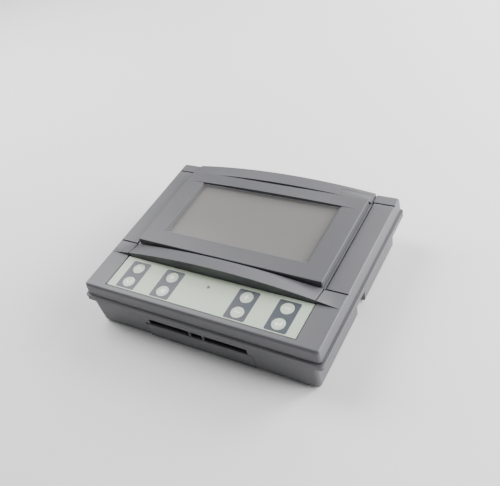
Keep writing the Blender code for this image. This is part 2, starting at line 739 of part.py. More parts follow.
# ================================================================ keypad
def build_overlay():
    z0 = FILM_Z - OVERLAY_T
    bm = box(-OVERLAY_W / 2, OVERLAY_W / 2, OVERLAY_Y - OVERLAY_D / 2,
             OVERLAY_Y + OVERLAY_D / 2, z0, FILM_Z)
    film = make_object("keypad_film", bm, material("keypad_film", KEYPAD_COLOUR, 0.4))
    holes = bmesh.new()
    for _, x, y in key_places():
        add_cylinder(holes, x, y, z0 - 1, FILM_Z + 1, KEY_DIA + 2 * SLIDE_GAP, 24)
    add_cylinder(holes, 0, LED_Y, z0 - 1, FILM_Z + 1, LED_HOLE, 10)
    cut(film, holes, "film_holes")


def build_keys():
    cap_mat = material("key_cap", (0.66, 0.68, 0.60, 1), 0.4)
    switch_mat = material("switch_body", (0.05, 0.05, 0.05, 1), 0.5)
    top = FILM_Z + KEY_PROUD
    under = POCKET_Z + KEY_TRAVEL + STOP_CLEAR
    r = KEY_DIA / 2
    for name, x, y in key_places():
        bm = bmesh.new()
        add_lathe(bm, 0, 0, ((0, STEM_Z), (KEY_STEM_DIA / 2, STEM_Z), (KEY_STEM_DIA / 2, under),
                             (r, under), (r, top - KEY_BEVEL), (r - KEY_BEVEL, top - 0.1),
                             (0, top)), 18)
        bmesh.ops.translate(bm, verts=bm.verts, vec=(0, 0, -top))
        cap = make_object(name, bm, cap_mat, smooth=True)
        cap.location = (x * MM, y * MM, top * MM)
        body = bmesh.new()
        h = SWITCH_SIDE / 2
        z0 = KEYPAD_BOARD_Z + PCB_T + GAP
        add_loft(body, [[(x - h, y - h, z), (x + h, y - h, z), (x + h, y + h, z), (x - h, y + h, z)]
                        for z in (z0, z0 + SWITCH_BODY_H)])
        plunger = bmesh.new()
        add_cylinder(plunger, x, y, z0 + SWITCH_BODY_H / 2, SWITCH_TOP, PLUNGER_DIA, 10)
        switch = make_object(name.replace("key", "switch"), body, switch_mat)
        join(switch, plunger, name.replace("key", "plunger"))


def build_keypad_board():
    x = KEYPAD_BOARD_W / 2
    y = KEYPAD_BOARD_D / 2
    bm = box(-x, x, OVERLAY_Y - y, OVERLAY_Y + y, KEYPAD_BOARD_Z, KEYPAD_BOARD_Z + PCB_T)
    board = make_object("keypad_board", bm, material("board_green", (0.02, 0.12, 0.05, 1), 0.4))
    holes = bmesh.new()
    for hx, hy in keypad_board_holes():
        add_cylinder(holes, hx, hy, KEYPAD_BOARD_Z - 1, KEYPAD_BOARD_Z + PCB_T + 1,
                     SMALL_SCREW_DIA + 2 * GAP, 10)
    cut(board, holes, "keypad_board_holes")
    led = bmesh.new()
    z0 = KEYPAD_BOARD_Z + PCB_T + GAP
    r = LED_DIA / 2
    add_lathe(led, 0, LED_Y, ((0, z0), (r, z0), (r, LED_TIP_Z - 1.0), (r * 0.75, LED_TIP_Z - 0.3),
                              (0, LED_TIP_Z)), 14)
    make_object("status_led", led, material("led_resin", (0.30, 0.05, 0.04, 1), 0.2), smooth=True)


# ================================================================ display
LENS_TOP = TOP_Z + BEZEL_H - LENS_SUNK
LENS_Z = LENS_TOP - LENS_T
LCD_Z = LENS_Z - GAP - LCD_T
BACKLIGHT_Z = LCD_Z - GAP - BACKLIGHT_T
TRAY_Z = BACKLIGHT_Z - GAP - LCD_TRAY_T
SKIRT_Z = TOP_Z - BEZEL_SKIRT_DEPTH
DISPLAY_BOARD_Z = SKIRT_Z - GAP - PCB_T


def window_box(grow):
    half = BEZEL_W / 2 - WINDOW_SIDE + grow
    return -half, half, BEZEL_FRONT + WINDOW_FRONT - grow, BEZEL_REAR - WINDOW_REAR + grow


def display_board_holes():
    x0, x1, y0, y1 = skirt_box(3.2)
    return [(x, y) for x in (x0, x1) for y in (y0, y1)]


def build_bezel():
    bm = bmesh.new()
    add_slab(bm, -BEZEL_W / 2, BEZEL_W / 2, BEZEL_FRONT, BEZEL_REAR,
             TOP_Z + GAP, TOP_Z + BEZEL_H, BEZEL_R, 3)
    bezel = make_object("display_bezel", bm, material("case_plastic_bezel", CASE_COLOUR, 0.42))
    skirt = bmesh.new()
    x0, x1, y0, y1 = skirt_box(0)
    add_box(skirt, x0, x1, y0, y1, SKIRT_Z, TOP_Z + 2)
    join(bezel, skirt, "bezel_skirt")
    pocket = bmesh.new()
    x0, x1, y0, y1 = window_box(LENS_LAP + LCD_FRAME_WALL + GAP)
    add_box(pocket, x0, x1, y0, y1, SKIRT_Z - 1, LENS_Z - GAP)
    cut(bezel, pocket, "lcd_pocket")
    rebate = bmesh.new()
    x0, x1, y0, y1 = window_box(LENS_LAP + GAP)
    add_box(rebate, x0, x1, y0, y1, LENS_Z - 2, LENS_TOP + GAP)
    cut(bezel, rebate, "lens_rebate")
    opening = bmesh.new()
    x0, x1, y0, y1 = window_box(0)
    low = [(x0, y0), (x1, y0), (x1, y1), (x0, y1)]
    slope = 0.6
    high = [(x0 - slope, y0 - 2 * slope), (x1 + slope, y0 - 2 * slope),
            (x1 + slope, y1 + slope / 2), (x0 - slope, y1 + slope / 2)]
    add_loft(opening, [[(x, y, LENS_TOP - 1) for x, y in low],
                       [(x, y, LENS_TOP + 0.6) for x, y in low],
                       [(x, y, TOP_Z + BEZEL_H + 0.5) for x, y in high]])
    cut(bezel, opening, "window_opening")
    join(bezel, crown_strip(), "crown_strip")
    holes = bmesh.new()
    for x, y in display_board_holes():
        add_cylinder(holes, x, y, SKIRT_Z - 1, SKIRT_Z + 6, SMALL_SCREW_DIA + 2 * GAP, 10)
    cut(bezel, holes, "bezel_screw_holes")


def crown_strip():
    """The strip behind the window: crowned at the window, flat at the bezel's rear edge."""
    bm = bmesh.new()
    top = TOP_Z + BEZEL_H
    sunk = 0.05
    half = BEZEL_W / 2 - BEZEL_CROWN_IN
    steps = 12
    rings = []
    for y, height in ((BEZEL_REAR - WINDOW_REAR + GAP, BEZEL_CROWN), (BEZEL_REAR - sunk, 0.0)):
        ring = [(-half, y, top - 1.0), (half, y, top - 1.0)]
        for i in range(steps + 1):
            x = half - 2 * half * i / steps
            ring.append((x, y, top - sunk + arch(x, height, half)))
        rings.append(ring)
    add_loft(bm, rings)
    return bm


def build_display_stack():
    x0, x1, y0, y1 = window_box(LENS_LAP)
    make_object("display_window", box(x0, x1, y0, y1, LENS_Z, LENS_TOP),
                material("clear_window", (0.55, 0.54, 0.52, 1), 0.15))
    x0, x1, y0, y1 = window_box(LENS_LAP - GAP)
    make_object("lcd_glass", box(x0, x1, y0, y1, LCD_Z, LCD_Z + LCD_T),
                material("lcd_glass", (0.35, 0.35, 0.33, 1), 0.2))
    make_object("backlight_panel", box(x0, x1, y0, y1, BACKLIGHT_Z, BACKLIGHT_Z + BACKLIGHT_T),
                material("backlight_white", (0.8, 0.8, 0.78, 1), 0.5))
    x0, x1, y0, y1 = window_box(LENS_LAP + LCD_FRAME_WALL - GAP)
    tray = make_object("lcd_frame", box(x0, x1, y0, y1, TRAY_Z, LCD_Z + LCD_T - GAP),
                       material("lcd_frame_steel", (0.5, 0.5, 0.5, 1), 0.4, 1.0))
    x0, x1, y0, y1 = window_box(LENS_LAP)
    cut(tray, box(x0, x1, y0, y1, TRAY_Z + LCD_TRAY_T, LCD_Z + LCD_T + 2), "tray_hollow")
    x0, x1, y0, y1 = skirt_box(0.5)
    board = make_object("display_board",
                        box(x0, x1, y0, y1, DISPLAY_BOARD_Z, DISPLAY_BOARD_Z + PCB_T),
                        material("display_board_green", (0.02, 0.12, 0.05, 1), 0.4))
    holes = bmesh.new()
    for x, y in display_board_holes():
        add_cylinder(holes, x, y, DISPLAY_BOARD_Z - 1, DISPLAY_BOARD_Z + PCB_T + 1,
                     SMALL_SCREW_DIA + 2 * GAP, 10)
    cut(board, holes, "display_board_holes")


def build_name_plate():
    make_object("blank_plate", plate_patch(0, -PLATE_SUNK - PLATE_T, -PLATE_SUNK),
                material("plate_grey", (0.22, 0.225, 0.235, 1), 0.35))


# ================================================================ front cover, notch
def build_pull_cover():
    half = PULL_COVER_W / 2
    front = BODY_FRONT - PULL_COVER_PROUD
    rear = front + PULL_COVER_T
    z0 = BASE_Z + 0.2
    z1 = BASE_Z + PULL_COVER_TOP
    bm = bmesh.new()
    bevel = PULL_COVER_BEVEL
    outline = [(rear, z0), (rear, z1), (front + bevel, z1), (front, z1 - bevel), (front, z0)]
    add_prism_x(bm, -half, half, outline)
    cover = make_object("connector_cover", bm, material("case_plastic_cover", CASE_COLOUR, 0.5))
    tabs = bmesh.new()
    for side in (-1, 1):
        x = side * (half - TAB_IN)
        add_box(tabs, x - TAB_W / 2, x + TAB_W / 2, rear - 1, rear + TAB_LONG,
                z1 - 3 * TAB_T, z1 - 2 * TAB_T)
    join(cover, tabs, "snap_tabs")


def build_grommet():
    inner = BODY_HALF - NOTCH_IN
    x0 = inner - WALL
    r = GROMMET_DIA / 2
    bore = GROMMET_BORE / 2
    lip = GROMMET_LIP
    sides = 16
    profile = ((bore, x0 - lip - GAP), (r + lip, x0 - lip - GAP), (r + lip, x0 - GAP), (r, x0 - GAP),
               (r, inner + GAP), (r + lip, inner + GAP), (r + lip, inner + lip + GAP),
               (bore, inner + lip + GAP))
    bm = bmesh.new()
    rings = [[bm.verts.new((x, NOTCH_Y + radius * math.cos(math.tau * i / sides),
                            GROMMET_Z + radius * math.sin(math.tau * i / sides)))
              for i in range(sides)] for radius, x in profile]
    for low, high in zip(rings, rings[1:] + rings[:1]):
        for i in range(sides):
            j = (i + 1) % sides
            bm.faces.new((low[i], low[j], high[j], high[i]))
    make_object("cable_grommet", bm, material("grommet_rubber", (0.02, 0.02, 0.02, 1), 0.7),
                smooth=True)


# ================================================================ inside
BOARD_Z = FLOOR_Z + BOARD_LIFT + GAP
BOARD_TOP = BOARD_Z + PCB_T
PART_Z = BOARD_TOP + PART_GAP


def build_main_board():
    x0, x1, y0, y1 = board_box()
    board = make_object("main_board", box(x0, x1, y0, y1, BOARD_Z, BOARD_TOP),
                        material("main_board_green", (0.02, 0.12, 0.05, 1), 0.4))
    holes = bmesh.new()
    for x, y in board_holes():
        add_cylinder(holes, x, y, BOARD_Z - 1, BOARD_TOP + 1, SMALL_SCREW_DIA + 2 * GAP, 10)
    cut(board, holes, "main_board_holes")

    black = material("black_nylon", (0.04, 0.04, 0.04, 1), 0.5)
    front = y0 + 0.5
    make_object("service_connector", box(-SERVICE_W / 2, SERVICE_W / 2, front, front + SERVICE_D,
                                         PART_Z, PART_Z + SERVICE_H), black)
    side = x1 - 3.0
    make_object("terminal_block", box(side - TERMINAL_W, side, NOTCH_Y - TERMINAL_D / 2,
                                      NOTCH_Y + TERMINAL_D / 2, PART_Z, PART_Z + TERMINAL_H),
                material("terminal_green", (0.05, 0.25, 0.10, 1), 0.5))
    left = x0 + 12.0
    rear = y1 - 16.0
    make_object("power_module", box(left, left + POWER_W, rear - POWER_D, rear,
                                    PART_Z, PART_Z + POWER_H),
                material("potted_black", (0.03, 0.03, 0.035, 1), 0.6))
    buzzer = bmesh.new()
    add_cylinder(buzzer, x0 + 24, y0 + 26, PART_Z, PART_Z + BUZZER_H, BUZZER_DIA, 18)
    make_object("buzzer", buzzer, material("buzzer_black", (0.03, 0.03, 0.03, 1), 0.5), smooth=True)


def ribbon(name, x0, x1, points, thickness, mat):
    """A flat cable that follows (y, z) points, straight across X."""
    bm = bmesh.new()
    left = []
    right = []
    for i, (y, z) in enumerate(points):
        ya, za = points[max(i - 1, 0)]
        yb, zb = points[min(i + 1, len(points) - 1)]
        length = math.hypot(yb - ya, zb - za)
        ny = -(zb - za) / length * thickness / 2
        nz = (yb - ya) / length * thickness / 2
        left.append((y + ny, z + nz))
        right.append((y - ny, z - nz))
    add_prism_x(bm, x0, x1, left + list(reversed(right)))
    make_object(name, bm, mat)


def s_curve(y0, z0, y1, z1, bulge, steps=12):
    """A cable's side view, straight up from the first end and into the second."""
    points = []
    for i in range(steps + 1):
        t = i / steps
        ease = t * t * (3 - 2 * t)
        points.append((y0 + (y1 - y0) * ease + bulge * math.sin(math.pi * t) ** 2,
                       z0 + (z1 - z0) * t))
    return points


def build_cables():
    _, _, y0, y1 = board_box()
    ribbon("display_ribbon", 20, 52,
           s_curve(y1 - 20, PART_Z + 0.2, y1 - 30, DISPLAY_BOARD_Z - GAP, 9.0), 1.0,
           material("ribbon_grey", (0.45, 0.45, 0.47, 1), 0.5))
    ribbon("keypad_tail", -56, -38,
           s_curve(y0 + 34, PART_Z + 0.2, OVERLAY_Y + 10, KEYPAD_BOARD_Z - GAP, 5.0), 0.6,
           material("flex_amber", (0.45, 0.22, 0.04, 1), 0.4))


def build():
    for obj in list(bpy.data.objects):
        bpy.data.objects.remove(obj, do_unlink=True)
    build_cover()
    build_housing()
    build_gasket()
    build_feet()
    build_bezel()
    build_display_stack()
    build_name_plate()
    build_overlay()
    build_keys()
    build_keypad_board()
    build_pull_cover()
    build_grommet()
    build_main_board()
    build_cables()
    build_screws()


build()
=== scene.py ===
"""Looks of the desk terminal: finer shells, the printed keypad and every finish.

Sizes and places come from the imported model. Lengths are in millimetres, and
make_piece() turns them into metres. X is the width, Y runs to the rear, Z is up.
"""
import math
from collections import namedtuple

import bmesh
import bpy
from mathutils import Matrix, Vector


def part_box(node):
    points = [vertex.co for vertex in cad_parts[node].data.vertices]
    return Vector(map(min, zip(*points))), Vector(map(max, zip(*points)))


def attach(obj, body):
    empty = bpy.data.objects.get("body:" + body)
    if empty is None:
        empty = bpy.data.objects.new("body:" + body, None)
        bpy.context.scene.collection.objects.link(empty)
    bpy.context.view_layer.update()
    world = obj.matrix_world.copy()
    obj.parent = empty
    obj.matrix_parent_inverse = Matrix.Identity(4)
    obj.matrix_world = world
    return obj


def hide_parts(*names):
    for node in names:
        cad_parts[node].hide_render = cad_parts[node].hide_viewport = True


MM = 0.001

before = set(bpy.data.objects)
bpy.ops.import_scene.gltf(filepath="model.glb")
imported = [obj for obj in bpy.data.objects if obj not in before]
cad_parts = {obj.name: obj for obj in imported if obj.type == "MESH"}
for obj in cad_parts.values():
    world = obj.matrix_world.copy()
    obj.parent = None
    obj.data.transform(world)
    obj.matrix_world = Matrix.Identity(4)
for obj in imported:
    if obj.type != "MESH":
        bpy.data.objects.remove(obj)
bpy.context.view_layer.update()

Box = namedtuple("Box", "x0 x1 y0 y1 z0 z1")
Plan = namedtuple("Plan", "x0 x1 y0 y1")
Cut = namedtuple("Cut", "x0 x1 y0 y1 depth")


def box_mm(node):
    """A node's box at rest, in millimetres."""
    low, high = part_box(node)
    return Box(*(value / MM for i in range(3) for value in (low[i], high[i])))


def centre(node):
    """The middle of a node's box in plan."""
    box = box_mm(node)
    return (box.x0 + box.x1) / 2, (box.y0 + box.y1) / 2


def grown(area, by):
    """A rectangle in plan, made larger by a margin all round."""
    return Plan(area.x0 - by, area.x1 + by, area.y0 - by, area.y1 + by)


# ================================================================ sizes
COVER = box_mm("top_cover")
HOUSING = box_mm("lower_housing")
BEZEL = box_mm("display_bezel")
FILM = box_mm("keypad_film")
LENS = box_mm("display_window")
PLATE = box_mm("blank_plate")
PULL_COVER = box_mm("connector_cover")

WALL = 2.5
SHUT = 0.01              # half the width that an upright wall has in a grid
FIT_GAP = 0.3            # between a part and the opening it sits in
TURN_PARTS = [1.0 - math.cos(math.radians(a)) for a in (0, 18, 36, 54, 72)]
SMALL_STEPS = 3          # steps in a small round corner
ROUND_ANGLES = [math.radians(a) for a in (0, 22, 45, 68, 90)]

# The cover, over the flange.
COVER_H = 13.5           # from its lower lip to its flat top
TOP_Z = COVER.z0 + COVER_H
SIDE_LEAN = 1.0          # how far the side walls lean in
FRONT_LEAN = 1.2         # how far the front wall leans in
SIDE_R = 1.9             # top edges along the sides
FRONT_R = 3.0            # top edge along the front
REAR_R = 1.5             # top edge along the rear
REAR_Y = COVER.y1 + 1.0
CURL_R = 0.7             # bottom edge, over the shadow gap
COVER_CORNER_R = 2.6
SOFT_EDGE = 0.28         # rounding of moulded grooves and pockets
TOP_PLAN = Plan(COVER.x0 + SIDE_LEAN, COVER.x1 - SIDE_LEAN, COVER.y0 + FRONT_LEAN, REAR_Y)
COVER_COLUMN_STEP = 6.0
COVER_ROW_STEP = 7.0
COVER_WALL_PARTS = (0.0, 0.02, 0.045, 0.07, 0.1, 0.55, 0.97)
CUT_OFFSETS = (SHUT, 0.1, SOFT_EDGE)

# The two crowned bands. Pairs are values at the band's front and rear.
BAND_FRONT = FILM.y1 + 0.5
BAND_REAR = BEZEL.y0 - 1.2
REAR_BAND_FRONT = BEZEL.y1 + 1.3
BAND_EDGE_R = 0.6
BAND_CREST_PARTS = (0.12, 0.3, 0.6, 1.0)
FRONT_CROWN = (11.0, 6.6)            # height in the middle
FRONT_CROWN_HALF = (122.0, 101.5)    # half the width that the crown spans
REAR_CROWN = (7.7, 8.4)
REAR_CROWN_HALF = (122.0, 112.0)

# Grooves and pockets in the cover.
GROOVE_W = 1.4
GROOVE_DEPTH = 1.6
SIDE_GROOVE_X = BEZEL.x1 + 2.8
BAND_GROOVE_X = BEZEL.x1 + 1.4
BAND_GROOVE_Y = (BAND_FRONT - 0.8, BAND_REAR + 0.2)
NOTCH_W = 1.3            # grooves at the rear band's ends, which notch the rear edge
NOTCH_Y = (REAR_BAND_FRONT - 0.2, REAR_Y + 1.0)
FRONT_CROSS_Y = BAND_REAR + 0.4
REAR_CROSS_Y = REAR_BAND_FRONT + 2.5
CROSS_END = COVER.x1 - 1.8
POCKET_DEPTH = 1.9
PLATE_DEPTH = 0.6
PLATE_GAP = 0.15
PLATE_SINK = 0.12        # blank plate's face, under the band
PLATE_LIFT = 0.02        # blank plate's back, over its pocket
PLATE_COLUMNS = 16
PLATE_ROWS = 4

# The display's frame and window.
LENS_LAP = 3.2           # how far the window reaches under the frame
LENS_CORNER_R = 1.0
WINDOW = grown(LENS, -LENS_LAP)
WINDOW_EDGE_R = 0.7
PANE_GAP = 0.45
PANE_DOWN = 1.3          # window's face, under the frame's flat top
PANE_BEVEL = 0.35
PANE_CORNER_R = 0.6
PANE_FACE_CORNER_R = 0.4
PANE_EDGE_W = 0.55       # polished strip round the window's face, pale in colour as a painted highlight
PANE_EDGE_CORNER_R = 0.5
PANE_EDGE_DEPTH = 0.3
PANE_EDGE_PROUD = 0.03
SKIRT_IN = 7.0           # from the frame's outside to its skirt
BEZEL_H = 6.8
BEZEL_TOP = TOP_Z + BEZEL_H
BEZEL_EDGE_R = 0.9
BEZEL_CORNER_R = 1.5
BEZEL_LIP_T = 0.15       # frame's lower edge round the opening
BEZEL_CROWN = 1.8        # height of the strip behind the window, in the middle
BEZEL_CROWN_HALF = 91.0
BEZEL_CROWN_FALL = 1.2   # how the strip's crown fades to the rear
BEZEL_STEP = 6.0
BEZEL_WALL_PARTS = (0.0, 0.5, 0.93)
WINDOW_OFFSETS = (SHUT, 0.08, 0.2, 0.4, WINDOW_EDGE_R)

# The lower housing, with its flange.
FLANGE_H = 6.2
FLANGE_OVER_BODY = 30.0  # flange's underside above the base
BODY_X = 121.0
BODY_Y0 = COVER.y0 - 0.7
BODY_Y1 = COVER.y1 - 9.3
BODY_DRAFT = 0.6
BODY_R = 4.0
BODY_MIN_R = 1.0
BASE_R = 1.8
BASE_Z = PULL_COVER.z0 - 0.2
RIM_R = 0.7              # flange's outer edges
RIM_W = 2.5
RIM_INNER_R = BODY_R - 2.0
CUT_PAST = 2.0           # how far a cutter reaches past the face it opens
CUT_INTO = 1.0           # and past the inner face behind it
JOIN = 1.0               # how far an added block reaches into the body
POST_SIDES = 28
HOLE_SIDES = 32
CABLE_NOTCH_IN = 20.0    # depth of the cable notch in the right wall
CABLE_NOTCH_OUT = 9.0
CABLE_NOTCH_W = 18.5
CABLE_NOTCH_TOP = 26.5
GROMMET_R = 5.8
POST_R = 5.0
HEAD_R = 3.2
HEAD_H = 2.5
SLOT_W = 107.2           # all three slots in the front wall
SLOT_MIDDLE = 13.2
SLOT_RIB = 1.6
SLOT_R = 0.5
SLOT_Z0 = BASE_Z + 18.5
SLOT_Z1 = SLOT_Z0 + 6.5
BAY_DEPTH = 2.95         # bay behind the connector cover
BAY_GAP = 0.5
BAY_GAP_LEFT = 1.5

# The pull-out connector cover.
PULL_COVER_T = 3.4
PULL_COVER_TURN = 0.68   # how much less it stands proud at its right end
PULL_COVER_EDGE_R = 0.8
PULL_COVER_CHAMFER = 0.4
PULL_COVER_COLUMNS = 14
TAB_IN = 12.0
TAB_W = 8.0
TAB_T = 1.6
TAB_JOIN = 1.0

# Keypad film, keys and status light.
KEY_PAIRS = (("key_up", "key_down"), ("key_next", "key_back"),
             ("key_plus", "key_minus"), ("key_dash", "key_enter"))
KEY_NAMES = [name for pair in KEY_PAIRS for name in pair]
FILM_IN = 0.65           # the sheet stops this far inside its pocket
FILM_LIFT = 0.4
FILM_CORNER_R = 0.6
FILM_BEVEL = 0.08
KEY_R = (box_mm("key_up").x1 - box_mm("key_up").x0) / 2
KEY_IN = 0.3             # the cap's radius is this much smaller than its hole
KEY_STEM_R = 2.5
KEY_CAP_H = 0.9
KEY_EDGE_R = 0.45
KEY_DOME = 0.22
KEY_SIDES = 56
KEY_DOME_ANGLES = (90, 70, 50, 30, 10)
KEY_TOP_PARTS = (0.8, 0.5, 0.25)
STEM_HOLE = 3.0          # half the width of the cover's hole under each key
LED_HOLE = 1.9           # and of the one under the status light
LED_HOLE_R = 1.65        # the film's hole for it
LED_R = 1.45
LED_SIDES = 24
LED_DOME = ((1.0, 0.1), (0.8, 0.35), (0.4, 0.5), (0.0, 0.55))   # part of radius, height
GLYPH = 6.4
GLYPH_SINK = 0.05
GLYPH_PROUD = 0.04
PAD_W = 21.0
PAD_D = 34.2
PAD_FRONT = 1.7          # from the film's front edge
PAD_R = 1.8
PAD_T = 0.05
PAD_SINK = 0.02

CAMERA_TARGET = (36.93, -62.19, 51.0)
CAMERA_AZIMUTH = 41.77
CAMERA_ELEVATION = 46.6
CAMERA_ROLL = -17.84
CAMERA_DISTANCE = 528.44
CAMERA_LENS = 43.5
CAMERA_SHIFT = (0.016, 0.11)

# Floor and lights, in metres and watts.
FLOOR_HALF = 1.1
WORLD_GLOW = 0.04
BACKDROP = 2.0
LIGHT_TARGET = (0.0, 0.0, 0.04)
SOFTBOXES = (            # name, azimuth, elevation, distance, size, watts
    ("right_softbox", 10, 20, 1.2, 0.6, 17.0),
    ("rear_right_softbox", 45, 25, 1.3, 0.7, 22.8),
    ("rear_softbox", 90, 25, 1.3, 0.8, 9.4),
    ("left_softbox", 180, 25, 1.3, 0.7, 9.9),
    ("high_left_softbox", 160, 50, 1.3, 0.8, 16.0),
    ("front_softbox", 270, 25, 1.3, 0.8, 0.8),
)


# ================================================================ mesh helpers
def make_piece(name, bm, body, mat, node=None, sharp=35.0):
    """Turn a bmesh in millimetres into a piece that rides on a body."""
    bmesh.ops.scale(bm, vec=(MM, MM, MM), verts=bm.verts)
    bmesh.ops.recalc_face_normals(bm, faces=bm.faces)
    mesh = bpy.data.meshes.new(name)
    bm.to_mesh(mesh)
    bm.free()
    mesh.shade_smooth()
    mesh.set_sharp_from_angle(angle=math.radians(sharp))
    mesh.materials.append(mat)
    obj = bpy.data.objects.new(name, mesh)
    bpy.context.scene.collection.objects.link(obj)
    even = obj.modifiers.new("even_normals", "WEIGHTED_NORMAL")
    even.keep_sharp = True
    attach(obj, body)
    if node:
        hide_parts(node)
    return obj


def add_loft(bm, rings):
    """Skin a list of closed rings, each a list of points, and cap both ends."""
    loops = [[bm.verts.new(point) for point in ring] for ring in rings]
    for low, high in zip(loops, loops[1:]):
        count = len(low)
        for i in range(count):
            j = (i + 1) % count
            bm.faces.new((low[i], low[j], high[j], high[i]))
    bm.faces.new(list(reversed(loops[0])))
    bm.faces.new(loops[-1])


def rounded(plan, radius, steps=8):
    """Outline of a rectangle with round corners, anticlockwise, as (x, y) pairs."""
    middle_x = (plan.x0 + plan.x1) / 2
    middle_y = (plan.y0 + plan.y1) / 2
    points = []
    for cx, cy, start in ((plan.x1, plan.y0, -90), (plan.x1, plan.y1, 0),
                          (plan.x0, plan.y1, 90), (plan.x0, plan.y0, 180)):
        ox = cx - math.copysign(radius, cx - middle_x)
        oy = cy - math.copysign(radius, cy - middle_y)
        for i in range(steps + 1):
            angle = math.radians(start + 90 * i / steps)
            points.append((ox + radius * math.cos(angle), oy + radius * math.sin(angle)))
    return points


def at_height(outline, z):
    return [(x, y, z) for x, y in outline]


def within(x, y, plan):
    return plan.x0 <= x <= plan.x1 and plan.y0 <= y <= plan.y1


def box_bmesh(x0, x1, y0, y1, z0, z1):
    bm = bmesh.new()
    add_loft(bm, [[(x0, y0, z), (x1, y0, z), (x1, y1, z), (x0, y1, z)] for z in (z0, z1)])
    return bm


def with_booleans(bm, steps):
    """Join or cut closed shapes in turn, and give back one bmesh."""
    def temporary(shape):
        bmesh.ops.recalc_face_normals(shape, faces=shape.faces)
        mesh = bpy.data.meshes.new("temporary")
        shape.to_mesh(mesh)
        shape.free()
        obj = bpy.data.objects.new("temporary", mesh)
        bpy.context.scene.collection.objects.link(obj)
        return obj

    target = temporary(bm)
    helpers = []
    for operation, shape in steps:
        helper = temporary(shape)
        helpers.append(helper)
        mod = target.modifiers.new("step", "BOOLEAN")
        mod.operation = operation
        mod.solver = "EXACT"
        mod.object = helper
    graph = bpy.context.evaluated_depsgraph_get()
    mesh = bpy.data.meshes.new_from_object(target.evaluated_get(graph))
    result = bmesh.new()
    result.from_mesh(mesh)
    bpy.data.meshes.remove(mesh)
    for obj in helpers + [target]:
        data = obj.data
        bpy.data.objects.remove(obj)
        bpy.data.meshes.remove(data)
    return result


def lathe(profile, sides, cx=0.0, cy=0.0):
    """Turn (radius, z) pairs round an upright axis; both ends lie on the axis."""
    bm = bmesh.new()
    rings = []
    for radius, z in profile:
        count = sides if radius > 0 else 1
        rings.append([bm.verts.new((cx + radius * math.cos(math.tau * i / sides),
                                    cy + radius * math.sin(math.tau * i / sides), z))
                      for i in range(count)])
    for low, high in zip(rings, rings[1:]):
        for i in range(sides):
            j = (i + 1) % sides
            if len(low) == 1:
                bm.faces.new((low[0], high[j], high[i]))
            elif len(high) == 1:
                bm.faces.new((low[i], low[j], high[0]))
            else:
                bm.faces.new((low[i], low[j], high[j], high[i]))
    return bm


def cylinder(radius, z0, z1, sides, cx=0.0, cy=0.0):
    return lathe(((0, z0), (radius, z0), (radius, z1), (0, z1)), sides, cx, cy)


def stations(low, high, step, edges, offsets):
    """Places along an axis: even ones, and close pairs around each hard edge."""
    count = max(1, round((high - low) / step))
    places = {round(low + (high - low) * i / count, 4) for i in range(count + 1)}
    reach = max(offsets) * 1.3
    places = {p for p in places if all(abs(p - e) > reach for e in edges)} | {low, high}
    for edge in edges:
        for offset in offsets:
            places |= {round(edge - offset, 4), round(edge + offset, 4)}
    return sorted(p for p in places if low <= p <= high)


def shell_lines(low, high, radii, step, edges, offsets, more, wall):
    """Grid lines over a shell: upright wall, rounded edge, top, rounded edge, wall.

    Each is a place along the axis, and the part of the wall's height it stands at.
    """
    low_r, high_r = radii
    places = set(stations(low + low_r, high - high_r, step, edges, offsets)) | set(more)
    places = ([low + low_r * t for t in TURN_PARTS] + sorted(places)
              + [high - high_r * t for t in reversed(TURN_PARTS)])
    return ([(low, part) for part in wall] + [(place, 1.0) for place in places]
            + [(high, part) for part in reversed(wall)])


def grid_shell(columns, rows, outer, inner, is_open):
    """A closed shell: two skins over one grid, joined along every open edge."""
    bm = bmesh.new()
    skins = [[[bm.verts.new(place(c, r)) for r in rows] for c in columns]
             for place in (outer, inner)]
    top, low = skins

    def solid(i, j):
        if not (0 <= i < len(columns) - 1 and 0 <= j < len(rows) - 1):
            return False
        x = (columns[i][0] + columns[i + 1][0]) / 2
        y = (rows[j][0] + rows[j + 1][0]) / 2
        return not is_open(x, y)

    for i in range(len(columns) - 1):
        for j in range(len(rows) - 1):
            if not solid(i, j):
                continue
            corners = ((i, j), (i + 1, j), (i + 1, j + 1), (i, j + 1))
            bm.faces.new([top[a][b] for a, b in corners])
            bm.faces.new([low[a][b] for a, b in reversed(corners)])
            beside = ((i, j - 1), (i + 1, j), (i, j + 1), (i - 1, j))
            for k, (ni, nj) in enumerate(beside):
                if not solid(ni, nj):
                    a, b = corners[k]
                    c, d = corners[(k + 1) % 4]
                    bm.faces.new((top[c][d], top[a][b], low[a][b], low[c][d]))
    bmesh.ops.delete(bm, geom=[v for v in bm.verts if not v.link_faces], context="VERTS")
    bmesh.ops.remove_doubles(bm, verts=bm.verts, dist=0.0001)
    return bm


def soften(distance, radius):
    """How far a rounded edge has fallen at a distance from its wall."""
    if distance >= radius:
        return 0.0
    return radius - math.sqrt(radius ** 2 - (radius - max(distance, 0.0)) ** 2)


def round_corner(x, y, x_end, y_end, radius):
    """Bend the square corner of a grid into a quarter circle."""
    dx = abs(x) - (x_end - radius)
    dy = abs(y) - (y_end - radius)
    if dx <= 0 or dy <= 0:
        return x, y
    scale = max(dx, dy) / math.hypot(dx, dy)
    return (math.copysign(x_end - radius + dx * scale, x),
            math.copysign(y_end - radius + dy * scale, y))


